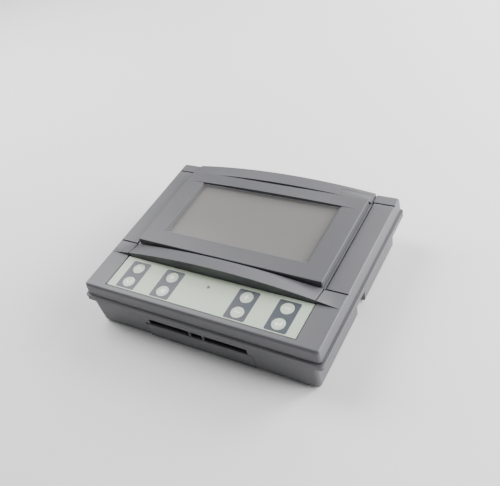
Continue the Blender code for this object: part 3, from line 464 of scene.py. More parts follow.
def flat_shape(name, outlines, z0, z1, bevel=0.0):
    """A sheet between two heights from closed (x, y) outlines; the later ones are holes."""
    curve = bpy.data.curves.new(name, "CURVE")
    curve.dimensions = "2D"
    curve.fill_mode = "BOTH"
    curve.extrude = (z1 - z0) / 2 - bevel
    curve.bevel_depth = bevel
    curve.bevel_resolution = 1
    curve.offset = -bevel
    for outline in outlines:
        spline = curve.splines.new("POLY")
        spline.points.add(len(outline) - 1)
        for point, (x, y) in zip(spline.points, outline):
            point.co = (x, y, 0.0, 1.0)
        spline.use_cyclic_u = True
    obj = bpy.data.objects.new(name, curve)
    bpy.context.scene.collection.objects.link(obj)
    graph = bpy.context.evaluated_depsgraph_get()
    mesh = bpy.data.meshes.new_from_object(obj.evaluated_get(graph))
    bm = bmesh.new()
    bm.from_mesh(mesh)
    bpy.data.objects.remove(obj)
    bpy.data.curves.remove(curve)
    bpy.data.meshes.remove(mesh)
    bmesh.ops.remove_doubles(bm, verts=bm.verts, dist=0.001)
    bmesh.ops.translate(bm, verts=bm.verts, vec=(0.0, 0.0, (z0 + z1) / 2))
    return bm


def circle(x, y, radius, sides=KEY_SIDES):
    turns = [math.tau * i / sides for i in range(sides)]
    return [(x + radius * math.cos(turn), y + radius * math.sin(turn)) for turn in turns]


# ================================================================ materials
class Nodes:
    """A small builder for one Principled material."""

    def __init__(self, name, roughness=0.5, metallic=0.0, specular=0.5):
        self.mat = bpy.data.materials.new(name)
        self.mat.use_nodes = True
        self.tree = self.mat.node_tree
        self.shader = self.tree.nodes["Principled BSDF"]
        self.shader.inputs["Roughness"].default_value = roughness
        self.shader.inputs["Metallic"].default_value = metallic
        self.shader.inputs["Specular IOR Level"].default_value = specular
        self.place = self.tree.nodes.new("ShaderNodeTexCoord").outputs["Object"]

    def noise(self, scale, detail=3.0, rough=0.5, stretch=None):
        node = self.tree.nodes.new("ShaderNodeTexNoise")
        node.inputs["Scale"].default_value = scale
        node.inputs["Detail"].default_value = detail
        node.inputs["Roughness"].default_value = rough
        source = self.place
        if stretch:
            mapping = self.tree.nodes.new("ShaderNodeMapping")
            mapping.inputs["Scale"].default_value = stretch
            self.tree.links.new(source, mapping.inputs["Vector"])
            source = mapping.outputs["Vector"]
        self.tree.links.new(source, node.inputs["Vector"])
        return node.outputs["Fac"]

    def colour(self, source, dark, light, low=0.3, high=0.7):
        """Base colour that goes from one tone to another over a noise."""
        node = self.tree.nodes.new("ShaderNodeValToRGB")
        first, last = node.color_ramp.elements
        first.position, first.color = low, dark
        last.position, last.color = high, light
        self.tree.links.new(source, node.inputs["Fac"])
        self.tree.links.new(node.outputs["Color"], self.shader.inputs["Base Color"])

    def span(self, source, low, high):
        node = self.tree.nodes.new("ShaderNodeMapRange")
        node.inputs["To Min"].default_value = low
        node.inputs["To Max"].default_value = high
        self.tree.links.new(source, node.inputs["Value"])
        return node.outputs["Result"]

    def roughness(self, source):
        self.tree.links.new(source, self.shader.inputs["Roughness"])

    def bump(self, source, strength, distance_mm):
        node = self.tree.nodes.new("ShaderNodeBump")
        node.inputs["Strength"].default_value = strength
        node.inputs["Distance"].default_value = distance_mm * MM
        self.tree.links.new(source, node.inputs["Height"])
        self.tree.links.new(node.outputs["Normal"], self.shader.inputs["Normal"])


def tint(colour, factor):
    """A colour, darker or lighter by a factor."""
    return tuple(c * factor for c in colour[:3]) + (1.0,)


def moulded(name, colour, roughness=0.5, grain=0.25, variety=0.04, specular=0.5):
    """Moulded plastic: a fine spark-eroded grain and faint cloudy colour."""
    nodes = Nodes(name, roughness, specular=specular)
    nodes.colour(nodes.noise(18.0, 4.0), tint(colour, 1 - variety), tint(colour, 1 + variety))
    fine = nodes.noise(2600.0, 2.0, 0.6)
    nodes.roughness(nodes.span(fine, roughness - 0.06, roughness + 0.06))
    nodes.bump(fine, grain, 0.06)
    return nodes.mat


CASE_GREY = (0.110, 0.110, 0.120, 1.0)
case_top = moulded("case_top", CASE_GREY, 0.46)
bezel_grey = moulded("bezel_grey", tint(CASE_GREY, 0.85), 0.46)
case_base = moulded("case_base", tint(CASE_GREY, 0.98), 0.52, grain=0.35)
plate_grey = moulded("plate_grey", tint(CASE_GREY, 1.04), 0.36, grain=0.08)
rubber = moulded("rubber", (0.028, 0.028, 0.030, 1.0), 0.78, grain=0.4, variety=0.12)
film_print = moulded("film_print", (0.46, 0.545, 0.43, 1.0), 0.40, grain=0.12, variety=0.02)
pad_print = moulded("pad_print", (0.048, 0.057, 0.074, 1.0), 0.42, grain=0.12, variety=0.03)
key_print = moulded("key_print", (0.49, 0.555, 0.47, 1.0), 0.38, grain=0.08, variety=0.05)
sign_print = moulded("sign_print", (0.88, 0.90, 0.87, 1.0), 0.4, grain=0.05, variety=0.01)
# The window's polished edge strip: its gloss is real, its pale bluish colour is a painted
# highlight.
window_edge_highlight = moulded("window_edge_highlight", (0.20, 0.21, 0.24, 1.0), 0.2, grain=0.03, variety=0.03)
gasket_rubber = moulded("gasket_rubber", (0.070, 0.070, 0.073, 1.0), 0.8, grain=0.3, variety=0.08)
black_plastic = moulded("black_plastic", (0.035, 0.035, 0.037, 1.0), 0.5, grain=0.2)
terminal_green = moulded("terminal_green", (0.05, 0.24, 0.10, 1.0), 0.45, grain=0.15)
flex_plastic = moulded("flex_plastic", (0.42, 0.16, 0.03, 1.0), 0.35, grain=0.05)
ribbon_plastic = moulded("ribbon_plastic", (0.40, 0.41, 0.42, 1.0), 0.45, grain=0.1)
backlight = moulded("backlight", (0.78, 0.78, 0.76, 1.0), 0.5, grain=0.1)
dome_cap = moulded("dome_cap", (0.06, 0.06, 0.065, 1.0), 0.4, grain=0.1)


def clear_window():
    """A clear window with an anti-glare coat, which veils what lies under it."""
    nodes = Nodes("clear_window", 0.26, specular=0.4)
    nodes.colour(nodes.noise(9.0, 3.0), (0.215, 0.212, 0.204, 1), (0.232, 0.228, 0.218, 1))
    nodes.roughness(nodes.span(nodes.noise(140.0, 4.0), 0.22, 0.30))
    nodes.shader.inputs["Alpha"].default_value = 0.30
    return nodes.mat


def display_face():
    """The unlit display: a warm grey polariser with a faint weave of cells."""
    nodes = Nodes("display_face", 0.32, specular=0.4)
    nodes.colour(nodes.noise(22.0, 3.0), (0.296, 0.290, 0.278, 1), (0.315, 0.308, 0.292, 1))
    cells = nodes.noise(3200.0, 1.0, stretch=(1.0, 1.0, 0.1))
    nodes.roughness(nodes.span(cells, 0.28, 0.36))
    nodes.bump(cells, 0.05, 0.02)
    return nodes.mat


def brushed_steel(name, colour, roughness):
    """Plated steel with a fine grain along its length."""
    nodes = Nodes(name, roughness, metallic=1.0)
    grain = nodes.noise(900.0, 3.0, stretch=(1.0, 18.0, 1.0))
    nodes.colour(grain, tint(colour, 0.93), tint(colour, 1.05))
    nodes.roughness(nodes.span(grain, roughness - 0.07, roughness + 0.08))
    nodes.bump(grain, 0.12, 0.02)
    return nodes.mat


def circuit_board():
    """Solder resist over copper runs, with faint traces."""
    nodes = Nodes("circuit_board", 0.32)
    runs = nodes.noise(260.0, 1.0, 0.2, stretch=(1.0, 6.0, 1.0))
    nodes.colour(runs, (0.010, 0.085, 0.030, 1), (0.016, 0.125, 0.045, 1), 0.46, 0.50)
    nodes.bump(runs, 0.1, 0.03)
    return nodes.mat


def led_resin():
    """The status light's diffused resin, unlit."""
    nodes = Nodes("led_resin", 0.25)
    nodes.colour(nodes.noise(300.0), (0.150, 0.165, 0.150, 1), (0.175, 0.190, 0.172, 1))
    nodes.shader.inputs["Coat Weight"].default_value = 0.4
    return nodes.mat


# ================================================================ top cover
def arch(x, height, half):
    """Height of a crown that falls to nothing at half its span."""
    return height * max(0.0, 1.0 - (x / half) ** 2)


def mix(a, b, t):
    """A value between two others, held inside them."""
    t = min(1.0, max(0.0, t))
    return a + (b - a) * t


def crown(x, y, front, rear, heights, halves):
    """Height of a crowned band over the cover's top plane."""
    t = (y - front) / (rear - front)
    height = arch(x, mix(*heights, t), mix(*halves, t))
    inside = min(y - front, rear - y) - SHUT
    return height - soften(inside, min(BAND_EDGE_R, height + 1e-6))


def groove(x, y0, y1, width=GROOVE_W):
    """A groove that runs from front to rear."""
    return Cut(x - width / 2, x + width / 2, y0, y1, GROOVE_DEPTH)


def cover_cuts():
    """Film pocket, plate pocket and grooves."""
    film = grown(FILM, FIT_GAP)
    half = GROOVE_W / 2
    cuts = [Cut(film.x0, film.x1, film.y0, BAND_FRONT, POCKET_DEPTH),
            Cut(*grown(PLATE, PLATE_GAP), PLATE_DEPTH)]
    for side in (-1, 1):
        cuts.append(groove(side * SIDE_GROOVE_X, FRONT_CROSS_Y - half, REAR_CROSS_Y + half))
        for y in (FRONT_CROSS_Y, REAR_CROSS_Y):
            ends = sorted((side * (SIDE_GROOVE_X - half), side * CROSS_END))
            cuts.append(Cut(*ends, y - half, y + half, GROOVE_DEPTH))
        cuts.append(groove(side * BAND_GROOVE_X, *BAND_GROOVE_Y))
        cuts.append(groove(side * BAND_GROOVE_X, *NOTCH_Y, NOTCH_W))
    return cuts


def cut_drop(x, y, cuts):
    """How far the surface lies below the uncut one."""
    drop = 0.0
    for cut in cuts:
        outside = max(cut.x0 - x, x - cut.x1, cut.y0 - y, y - cut.y1)
        if outside < 0:
            drop = max(drop, cut.depth)
        else:
            drop = max(drop, soften(outside - SHUT, SOFT_EDGE))
    return drop


def cover_height(x, y):
    """The cover's surface, before its pockets and grooves are cut."""
    z = TOP_Z - soften(TOP_PLAN.x1 - abs(x), SIDE_R)
    z -= soften(y - TOP_PLAN.y0, FRONT_R) + soften(TOP_PLAN.y1 - y, REAR_R)
    if BAND_FRONT < y < BAND_REAR:
        z += crown(x, y, BAND_FRONT, BAND_REAR, FRONT_CROWN, FRONT_CROWN_HALF)
    if y > REAR_BAND_FRONT and abs(x) < BAND_GROOVE_X:
        z += crown(x, y, REAR_BAND_FRONT, REAR_Y + 2 * BAND_EDGE_R,
                   REAR_CROWN, REAR_CROWN_HALF)
    return z


def flare(x, y, fall, height):
    """Round the plan's corners, then lean the upright walls out and curl their bottom edge in."""
    middle = (TOP_PLAN.y0 + TOP_PLAN.y1) / 2
    half = TOP_PLAN.y1 - middle
    x, y = round_corner(x, y - middle, TOP_PLAN.x1, half, COVER_CORNER_R)
    across = min(1.0, max(0.0, (abs(x) - TOP_PLAN.x1 + COVER_CORNER_R) / COVER_CORNER_R))
    along = min(1.0, max(0.0, (abs(y) - half + COVER_CORNER_R) / COVER_CORNER_R))
    if fall < 1.0:
        curl = soften(height, CURL_R)
        lean = FRONT_LEAN if y < 0 else 0.0
        x += math.copysign(across * (SIDE_LEAN * (1.0 - fall) - curl), x)
        y += math.copysign(along * (lean * (1.0 - fall) - curl), y)
    return x, y + middle


def hole_under(node, half):
    """A square hole in the cover under a node."""
    x, y = centre(node)
    return Plan(x - half, x + half, y - half, y + half)


def build_cover():
    """The cover: one grid, bent down at its rim, with the bands, grooves and pockets."""
    cuts = cover_cuts()
    holes = [grown(grown(BEZEL, -SKIRT_IN), FIT_GAP), hole_under("status_led", LED_HOLE)]
    holes += [hole_under(name, STEM_HOLE) for name in KEY_NAMES]
    x_edges = {x for cut in cuts for x in (cut.x0, cut.x1)}
    y_edges = {y for cut in cuts for y in (cut.y0, cut.y1) if y < REAR_Y}
    y_edges |= {BAND_FRONT, BAND_REAR, REAR_BAND_FRONT}
    more_x = [x for hole in holes for x in (hole.x0, hole.x1)]
    more_x += [side * (BAND_GROOVE_X + shift) for side in (-1, 1) for shift in (-SHUT, SHUT)]
    crest = [BAND_EDGE_R * part for part in BAND_CREST_PARTS]
    more_y = [y for hole in holes for y in (hole.y0, hole.y1)]
    more_y += [BAND_FRONT + t for t in crest] + [BAND_REAR - t for t in crest]
    more_y += [REAR_BAND_FRONT + t for t in crest]
    columns = shell_lines(TOP_PLAN.x0, TOP_PLAN.x1, (SIDE_R, SIDE_R), COVER_COLUMN_STEP,
                          x_edges, CUT_OFFSETS, more_x, COVER_WALL_PARTS)
    rows = shell_lines(TOP_PLAN.y0, TOP_PLAN.y1, (FRONT_R, REAR_R), COVER_ROW_STEP,
                       y_edges, CUT_OFFSETS, more_y, COVER_WALL_PARTS)

    def outer(column, row):
        x, across = column
        y, along = row
        fall = min(across, along)
        z = cover_height(x, y) - cut_drop(x, y, cuts)
        z = COVER.z0 + fall * (z - COVER.z0)
        if abs(abs(x) - BAND_GROOVE_X) < NOTCH_W / 2 and y > REAR_BAND_FRONT:
            y = min(y, REAR_Y - GROOVE_DEPTH)
        x, y = flare(x, y, fall, z - COVER.z0)
        return x, y, z

    def inner(column, row):
        x, across = column
        y, along = row
        z = cover_height(x, y) - WALL
        if y < BAND_FRONT + WALL:
            z = min(z, TOP_Z - POCKET_DEPTH - WALL)
        if BAND_REAR - WALL < y < REAR_BAND_FRONT + WALL:
            z = min(z, TOP_Z - WALL)
        z = COVER.z0 + min(across, along) * (z - COVER.z0)
        x = math.copysign(min(abs(x), TOP_PLAN.x1 - WALL), x)
        y = min(max(y, TOP_PLAN.y0 + WALL), TOP_PLAN.y1 - WALL)
        return x, y, z

    def is_open(x, y):
        return any(within(x, y, hole) for hole in holes)

    bm = grid_shell(columns, rows, outer, inner, is_open)
    make_piece("cover_shell", bm, "case", case_top, "top_cover")


# ================================================================ display bezel
def bezel_corner(x, y):
    """Round the plan corners of the frame."""
    middle = (BEZEL.y0 + BEZEL.y1) / 2
    x, y = round_corner(x, y - middle, BEZEL.x1, BEZEL.y1 - middle, BEZEL_CORNER_R)
    return x, y + middle


def build_bezel():
    """The raised frame: its opening shows the window, and its skirt drops into the cover."""
    lens = grown(LENS, FIT_GAP)
    skirt = grown(BEZEL, -SKIRT_IN)
    opening = grown(WINDOW, -SHUT)
    seat = LENS.z1 + FIT_GAP
    under = TOP_Z + FIT_GAP

    def lines(low, high, edges, more):
        return shell_lines(low, high, (BEZEL_EDGE_R, BEZEL_EDGE_R), BEZEL_STEP, edges,
                           WINDOW_OFFSETS, more, BEZEL_WALL_PARTS)

    columns = lines(BEZEL.x0, BEZEL.x1, (WINDOW.x0, WINDOW.x1),
                    (lens.x0, lens.x1, lens.x0 - SHUT, lens.x1 + SHUT,
                     skirt.x0, skirt.x1, skirt.x0 + SHUT, skirt.x1 - SHUT))
    rows = lines(BEZEL.y0, BEZEL.y1, (WINDOW.y0, WINDOW.y1),
                 (lens.y0, lens.y1, lens.y0 - SHUT, lens.y1 + SHUT,
                  skirt.y0, skirt.y1, skirt.y0 + SHUT, skirt.y1 - SHUT))

    def outer(column, row):
        x, across = column
        y, along = row
        z = BEZEL_TOP
        z -= max(soften(BEZEL.x1 - abs(x), BEZEL_EDGE_R),
                 soften(min(y - BEZEL.y0, BEZEL.y1 - y), BEZEL_EDGE_R))
        if y >= WINDOW.y1 + SHUT:
            t = (y - WINDOW.y1) / (BEZEL.y1 - BEZEL_EDGE_R - WINDOW.y1)
            fade = (1.0 - min(1.0, t)) ** BEZEL_CROWN_FALL
            z += arch(x, BEZEL_CROWN, BEZEL_CROWN_HALF) * fade
        outside = max(abs(x) - WINDOW.x1, WINDOW.y0 - y, y - WINDOW.y1)
        if outside < 0:
            z = seat
        else:
            z -= soften(outside - SHUT, WINDOW_EDGE_R)
        z = under + min(across, along) * (z - under)
        x, y = bezel_corner(x, y)
        return x, y, z

    def inner(column, row):
        x, y = column[0], row[0]
        z = under
        if within(x, y, skirt):
            z = BEZEL.z0
        if within(x, y, lens):
            z = seat - BEZEL_LIP_T
        x, y = bezel_corner(x, y)
        return x, y, z

    def is_open(x, y):
        return within(x, y, opening)

    bm = grid_shell(columns, rows, outer, inner, is_open)
    make_piece("bezel_frame", bm, "case", bezel_grey, "display_bezel")


def build_window():
    """The window: its rim laps under the frame, and its middle fills the opening."""
    pane = grown(WINDOW, -PANE_GAP)
    pane_top = BEZEL_TOP - PANE_DOWN
    rim = rounded(LENS, LENS_CORNER_R, SMALL_STEPS)
    side = rounded(pane, PANE_CORNER_R, SMALL_STEPS)
    face = rounded(grown(pane, -PANE_BEVEL), PANE_FACE_CORNER_R, SMALL_STEPS)
    bm = bmesh.new()
    add_loft(bm, [at_height(rim, LENS.z0), at_height(rim, LENS.z1), at_height(side, LENS.z1),
                  at_height(side, pane_top - PANE_BEVEL), at_height(face, pane_top)])
    make_piece("window_pane", bm, "case", clear_window(), "display_window")
    # A polished strip round the window's face, whose pale colour paints its highlight.
    edge = [rounded(grown(pane, -inset), PANE_EDGE_CORNER_R, SMALL_STEPS)
            for inset in (0.0, PANE_EDGE_W)]
    bm = flat_shape("edge", edge, pane_top - PANE_EDGE_DEPTH, pane_top + PANE_EDGE_PROUD)
    make_piece("window_edge_highlight", bm, "case", window_edge_highlight)


# ================================================================ lower housing
def body_ring(z, inset=0.0):
    """The housing's body at a height, drawn in by an inset."""
    narrow = BODY_DRAFT * (1.0 - (z - BASE_Z) / FLANGE_OVER_BODY)
    half = BODY_X - narrow - inset
    plan = Plan(-half, half, BODY_Y0 + inset, BODY_Y1 - narrow - inset)
    return at_height(rounded(plan, max(BODY_R - inset, BODY_MIN_R)), z)


def rim_ring(z, inset, radius):
    """The flange at a height, drawn in by an inset."""
    return at_height(rounded(grown(HOUSING, -inset), radius), z)


def housing_rings():
    """The outside from the base to the rim, then the inside back down."""
    flange_z = BASE_Z + FLANGE_OVER_BODY
    rim_z = flange_z + FLANGE_H
    rings = [body_ring(BASE_Z + BASE_R * (1 - math.cos(a)), BASE_R * (1 - math.sin(a)))
             for a in ROUND_ANGLES]
    rings.append(body_ring(flange_z))
    rings += [rim_ring(flange_z + RIM_R * (1 - math.cos(a)), RIM_R * (1 - math.sin(a)), BODY_R)
              for a in ROUND_ANGLES]
    rings += [rim_ring(rim_z - RIM_R * (1 - math.sin(a)), RIM_R * (1 - math.cos(a)), BODY_R)
              for a in reversed(ROUND_ANGLES)]
    rings.append(rim_ring(rim_z, RIM_W, RIM_INNER_R))
    rings.append(rim_ring(flange_z + WALL, RIM_W, RIM_INNER_R))
    rings.append(body_ring(flange_z + WALL, WALL))
    rings.append(body_ring(BASE_Z + WALL, WALL))
    return rings


def slot_cutter(x0, x1):
    """A slot with small round corners, cut through the front wall."""
    outline = rounded(Plan(x0, x1, SLOT_Z0, SLOT_Z1), SLOT_R, SMALL_STEPS)
    bm = bmesh.new()
    add_loft(bm, [[(x, y, z) for x, z in outline]
                  for y in (BODY_Y0 + WALL + CUT_INTO, BODY_Y0 - CUT_PAST)])
    return bm


def grommet_hole(x, y, z):
    """A round hole along x, through the inner wall of the cable notch."""
    hole = cylinder(GROMMET_R, -WALL - CUT_INTO, CUT_INTO, HOLE_SIDES)
    turn = Matrix.Translation((x, y, z)) @ Matrix.Rotation(math.pi / 2, 4, "Y")
    bmesh.ops.transform(hole, matrix=turn, verts=hole.verts)
    return hole


def housing_steps():
    """Blocks to join on first, then every opening to cut."""
    below = BASE_Z - CUT_PAST
    grommet = box_mm("cable_grommet")
    notch_y = centre("cable_grommet")[1]
    notch = Box(BODY_X - CABLE_NOTCH_IN, BODY_X + CABLE_NOTCH_OUT, notch_y - CABLE_NOTCH_W / 2,
                notch_y + CABLE_NOTCH_W / 2, below, BASE_Z + CABLE_NOTCH_TOP)
    joined = [box_bmesh(notch.x0 - WALL, BODY_X - JOIN, notch.y0 - WALL, notch.y1 + WALL,
                        BASE_Z + JOIN, notch.z1 + WALL)]
    cut = [box_bmesh(*notch)]
    for screw in (f"case_screw_{number}" for number in range(1, 5)):
        joined.append(cylinder(POST_R, BASE_Z + JOIN, BASE_Z + FLANGE_OVER_BODY, POST_SIDES,
                               *centre(screw)))
        cut.append(cylinder(HEAD_R, below, box_mm(screw).z0 + HEAD_H, POST_SIDES,
                            *centre(screw)))
    for node in (f"foot_{number}" for number in range(1, 5)):
        foot = box_mm(node)
        cut.append(cylinder((foot.x1 - foot.x0) / 2 + FIT_GAP, below, foot.z1 + FIT_GAP,
                            HOLE_SIDES, *centre(node)))
    rib_x = SLOT_MIDDLE / 2
    cut += [slot_cutter(-SLOT_W / 2, -rib_x - SLOT_RIB), slot_cutter(-rib_x, rib_x),
            slot_cutter(rib_x + SLOT_RIB, SLOT_W / 2)]
    cut.append(box_bmesh(PULL_COVER.x0 - BAY_GAP_LEFT, PULL_COVER.x1 + BAY_GAP / 2,
                         BODY_Y0 - CUT_PAST, BODY_Y0 + BAY_DEPTH, below,
                         PULL_COVER.z1 + BAY_GAP))
    cut.append(grommet_hole(notch.x0, notch_y, (grommet.z0 + grommet.z1) / 2))
    return [("UNION", shape) for shape in joined] + [("DIFFERENCE", shape) for shape in cut]


def build_housing():
    """The lower housing, hollow, with its flange."""
    bm = bmesh.new()
    add_loft(bm, housing_rings())
    bm = with_booleans(bm, housing_steps())
    make_piece("housing_shell", bm, "case", case_base, "lower_housing", 30.0)


def build_connector_cover():
    """The pull-out panel: its left end stands a little proud, its right end lies nearly flush."""
    rear = PULL_COVER.y0 + PULL_COVER_T
    rings = []
    for i in range(PULL_COVER_COLUMNS + 1):
        t = i / PULL_COVER_COLUMNS
        x = PULL_COVER.x0 + (PULL_COVER.x1 - PULL_COVER.x0) * t
        front = PULL_COVER.y0 + PULL_COVER_TURN * t
        ring = [(x, rear, PULL_COVER.z0), (x, rear, PULL_COVER.z1)]
        for angle in (0, 30, 60, 90):
            turn = math.radians(angle)
            ring.append((x, front + PULL_COVER_EDGE_R * (1 - math.sin(turn)),
                         PULL_COVER.z1 - PULL_COVER_EDGE_R * (1 - math.cos(turn))))
        ring.append((x, front, PULL_COVER.z0 + PULL_COVER_CHAMFER))
        ring.append((x, front + PULL_COVER_CHAMFER, PULL_COVER.z0))
        rings.append(ring)
    bm = bmesh.new()
    add_loft(bm, rings)
    tabs = []
    for side in (-1, 1):
        x = side * (PULL_COVER.x1 - TAB_IN)
        tabs.append(("UNION", box_bmesh(x - TAB_W / 2, x + TAB_W / 2, rear - TAB_JOIN,
                                        PULL_COVER.y1, PULL_COVER.z1 - 3 * TAB_T,
                                        PULL_COVER.z1 - 2 * TAB_T)))
    bm = with_booleans(bm, tabs)
    make_piece("connector_panel", bm, "connector_cover_body", case_base,
               "connector_cover", 30.0)


# ================================================================ keypad
def build_film():
    """The printed sheet, the status light in it, and a dark field round each pair of keys."""
    inside = grown(FILM, -FILM_IN)
    sheet = Plan(inside.x0, inside.x1, inside.y0, FILM.y1)
    top = FILM.z1 + FILM_LIFT
    led = centre("status_led")
    outlines = [rounded(sheet, FILM_CORNER_R, SMALL_STEPS)]
    outlines += [circle(*centre(name), KEY_R) for name in KEY_NAMES]
    outlines.append(circle(*led, LED_HOLE_R, LED_SIDES))
    bm = flat_shape("film", outlines, FILM.z0, top, FILM_BEVEL)
    make_piece("keypad_sheet", bm, "case", film_print, "keypad_film")
    foot_z = box_mm("status_led").z0
    profile = [(0, foot_z), (LED_R, foot_z)]
    profile += [(LED_R * part, FILM.z1 + height) for part, height in LED_DOME]
    bm = lathe(profile, LED_SIDES, *led)
    make_piece("status_lens", bm, "case", led_resin(), "status_led")
    for number, pair in enumerate(KEY_PAIRS, 1):
        x = centre(pair[0])[0]
        pad = Plan(x - PAD_W / 2, x + PAD_W / 2, FILM.y0 + PAD_FRONT,
                   FILM.y0 + PAD_FRONT + PAD_D)
        outlines = [rounded(pad, PAD_R, 2 * SMALL_STEPS)]
        outlines += [circle(*centre(name), KEY_R) for name in pair]
        bm = flat_shape("pad", outlines, top - PAD_SINK, top + PAD_T)
        make_piece(f"key_field_{number}", bm, "case", pad_print)


def glyph_outline(name):
    """The sign on a key, as a closed outline in a square of one by one."""
    arm = 0.075
    wide = 0.46
    head = -0.14
    shaft = (-0.23, -0.01)
    chevron = ((-wide, -0.22), (0.0, 0.24), (wide, -0.22),
               (wide, -0.43), (0.0, 0.03), (-wide, -0.43))
    rise = 0.13
    glyphs = {
        "key_up": [(x, y + rise) for x, y in chevron],
        "key_down": [(x, -y - rise) for x, y in chevron],
        "key_next": [(-0.30, -0.44), (0.42, 0.0), (-0.30, 0.44)],
        "key_back": [(0.30, 0.44), (-0.42, 0.0), (0.30, -0.44)],
        "key_plus": [(-wide, -arm), (-arm, -arm), (-arm, -wide), (arm, -wide),
                     (arm, -arm), (wide, -arm), (wide, arm), (arm, arm),
                     (arm, wide), (-arm, wide), (-arm, arm), (-wide, arm)],
        "key_enter": [(-0.50, -0.12), (head, -0.46), (head, shaft[0]), (wide, shaft[0]),
                      (wide, 0.44), (wide - 2 * arm, 0.44), (wide - 2 * arm, shaft[1]),
                      (head, shaft[1]), (head, 0.22)],
    }
    bar = [(-wide, -arm), (wide, -arm), (wide, arm), (-wide, arm)]
    return glyphs.get(name, bar)


def build_keys():
    """Each key: a domed cap on a stem, with its sign raised on the face."""
    cap_r = KEY_R - KEY_IN
    for name in KEY_NAMES:
        key = box_mm(name)
        x, y = centre(name)
        profile = [(0, key.z0), (KEY_STEM_R, key.z0), (KEY_STEM_R, key.z1 - KEY_CAP_H),
                   (cap_r, key.z1 - KEY_CAP_H)]
        profile += [(cap_r - KEY_EDGE_R * (1 - math.sin(math.radians(a))),
                     key.z1 - KEY_DOME - KEY_EDGE_R * (1 - math.cos(math.radians(a))))
                    for a in KEY_DOME_ANGLES]
        profile += [(cap_r * t, key.z1 - KEY_DOME * t * t) for t in KEY_TOP_PARTS]
        profile.append((0, key.z1))
        bm = lathe(profile, KEY_SIDES, x, y)
        make_piece(name + "_cap", bm, name + "_body", key_print, name)
        sign = [(x + px * GLYPH, y + py * GLYPH) for px, py in glyph_outline(name)]
        bm = flat_shape("sign", [sign], key.z1 - KEY_DOME - GLYPH_SINK, key.z1 + GLYPH_PROUD)
        make_piece(name + "_sign", bm, name + "_body", sign_print)


def build_plate():
    """The blank plate on the rear band, bent to its crown."""
    width = PLATE.x1 - PLATE.x0
    depth = PLATE.y1 - PLATE.y0
    columns = [(PLATE.x0 + width * i / PLATE_COLUMNS, 1.0) for i in range(PLATE_COLUMNS + 1)]
    rows = [(PLATE.y0 + depth * j / PLATE_ROWS, 1.0) for j in range(PLATE_ROWS + 1)]

    def over(lift):
        def place(column, row):
            return column[0], row[0], cover_height(column[0], row[0]) + lift
        return place

    bm = grid_shell(columns, rows, over(-PLATE_SINK), over(-PLATE_DEPTH + PLATE_LIFT),
                    lambda x, y: False)
    make_piece("rear_plate", bm, "case", plate_grey, "blank_plate")


# ================================================================ camera, floor, lights
def add_camera():
    """A camera at an angle round the case and over it, rolled about its own axis."""
    azimuth = math.radians(CAMERA_AZIMUTH)
    elevation = math.radians(CAMERA_ELEVATION)
    roll = math.radians(CAMERA_ROLL)
    back = Vector((math.sin(azimuth) * math.cos(elevation),
                   -math.cos(azimuth) * math.cos(elevation), math.sin(elevation)))
    level = Vector((math.cos(azimuth), math.sin(azimuth), 0.0))
    upright = back.cross(level)
    right = math.cos(roll) * level + math.sin(roll) * upright
    up = -math.sin(roll) * level + math.cos(roll) * upright
    place = (Vector(CAMERA_TARGET) + back * CAMERA_DISTANCE) * MM
    data = bpy.data.cameras.new("camera")
    data.lens = CAMERA_LENS
    data.shift_x, data.shift_y = CAMERA_SHIFT
    data.clip_start = 0.01
    camera = bpy.data.objects.new("camera", data)
    camera.matrix_world = Matrix((
        (right.x, up.x, back.x, place.x),
        (right.y, up.y, back.y, place.y),
        (right.z, up.z, back.z, place.z),
        (0.0, 0.0, 0.0, 1.0)))
    bpy.context.scene.collection.objects.link(camera)
    bpy.context.scene.camera = camera


def add_floor():
    """A plain pale floor."""
    bm = bmesh.new()
    bmesh.ops.create_grid(bm, x_segments=8, y_segments=8, size=FLOOR_HALF)
    mesh = bpy.data.meshes.new("floor")
    bm.to_mesh(mesh)
    bm.free()
    nodes = Nodes("floor", 0.9, specular=0.1)
    nodes.colour(nodes.noise(1.5, 2.0), (0.90, 0.90, 0.90, 1), (0.93, 0.93, 0.93, 1))
    mesh.materials.append(nodes.mat)
    floor = bpy.data.objects.new("floor", mesh)
    bpy.context.scene.collection.objects.link(floor)


def add_softbox(name, azimuth, elevation, distance, size, watts):
    """A round softbox aimed at the case. Azimuth 0 is to the right, 90 to the rear."""
    middle = Vector(LIGHT_TARGET)
    azimuth = math.radians(azimuth)
    elevation = math.radians(elevation)
    data = bpy.data.lights.new(name, "AREA")
    data.shape = "DISK"
    data.size = size
    data.energy = watts
    lamp = bpy.data.objects.new(name, data)
    lamp.location = middle + distance * Vector((math.cos(elevation) * math.cos(azimuth),
                                                math.cos(elevation) * math.sin(azimuth),
                                                math.sin(elevation)))
    lamp.rotation_euler = (middle - lamp.location).to_track_quat("-Z", "Y").to_euler()
    bpy.context.scene.collection.objects.link(lamp)


def add_lights():
    for softbox in SOFTBOXES:
        add_softbox(*softbox)
    add_world()


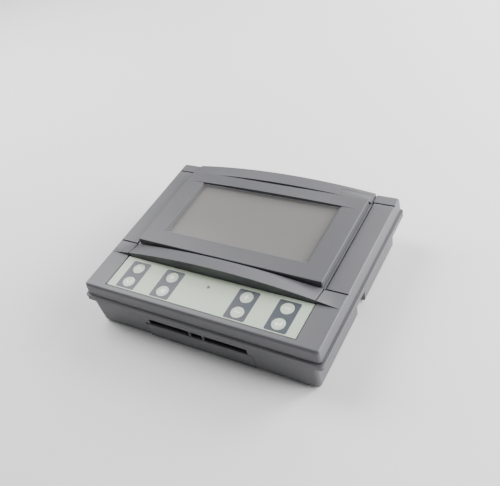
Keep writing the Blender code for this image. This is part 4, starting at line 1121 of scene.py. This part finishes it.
def add_world():
    """A pale backdrop for the eye, and a faint glow for the part."""
    world = bpy.data.worlds.new("studio")
    world.use_nodes = True
    tree = world.node_tree
    glow = tree.nodes["Background"]
    glow.inputs["Color"].default_value = (1.0, 1.0, 1.0, 1.0)
    glow.inputs["Strength"].default_value = WORLD_GLOW
    backdrop = tree.nodes.new("ShaderNodeBackground")
    backdrop.inputs["Color"].default_value = (1.0, 1.0, 1.0, 1.0)
    backdrop.inputs["Strength"].default_value = BACKDROP
    seen = tree.nodes.new("ShaderNodeLightPath")
    mixed = tree.nodes.new("ShaderNodeMixShader")
    tree.links.new(seen.outputs["Is Camera Ray"], mixed.inputs["Fac"])
    tree.links.new(glow.outputs["Background"], mixed.inputs[1])
    tree.links.new(backdrop.outputs["Background"], mixed.inputs[2])
    tree.links.new(mixed.outputs["Shader"], tree.nodes["World Output"].inputs["Surface"])
    bpy.context.scene.world = world


# ================================================================ carried-over nodes
def dress(nodes, mat):
    """Give CAD nodes their finish."""
    for name in nodes:
        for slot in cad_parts[name].material_slots:
            slot.material = mat


def dress_nodes():
    """Finishes of the nodes that no piece replaces."""
    steel = brushed_steel("screw_steel", (0.52, 0.52, 0.54, 1.0), 0.30)
    tin = brushed_steel("lcd_frame_steel", (0.58, 0.58, 0.58, 1.0), 0.36)
    screws = [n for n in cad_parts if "_screw_" in n]
    dress(screws, steel)
    dress(["lcd_glass"], display_face())
    dress(["lcd_frame"], tin)
    dress(["backlight_panel"], backlight)
    dress(["main_board", "keypad_board", "display_board"], circuit_board())
    dress([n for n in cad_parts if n.startswith("switch_")], dome_cap)
    dress(["buzzer", "power_module", "service_connector"], black_plastic)
    dress(["terminal_block"], terminal_green)
    dress(["display_ribbon"], ribbon_plastic)
    dress(["keypad_tail"], flex_plastic)
    dress(["case_gasket"], gasket_rubber)
    dress(["cable_grommet", "foot_1", "foot_2", "foot_3", "foot_4"], rubber)


add_camera()
add_floor()
add_lights()
build_cover()
build_bezel()
build_window()
build_housing()
build_connector_cover()
build_film()
build_keys()
build_plate()
dress_nodes()
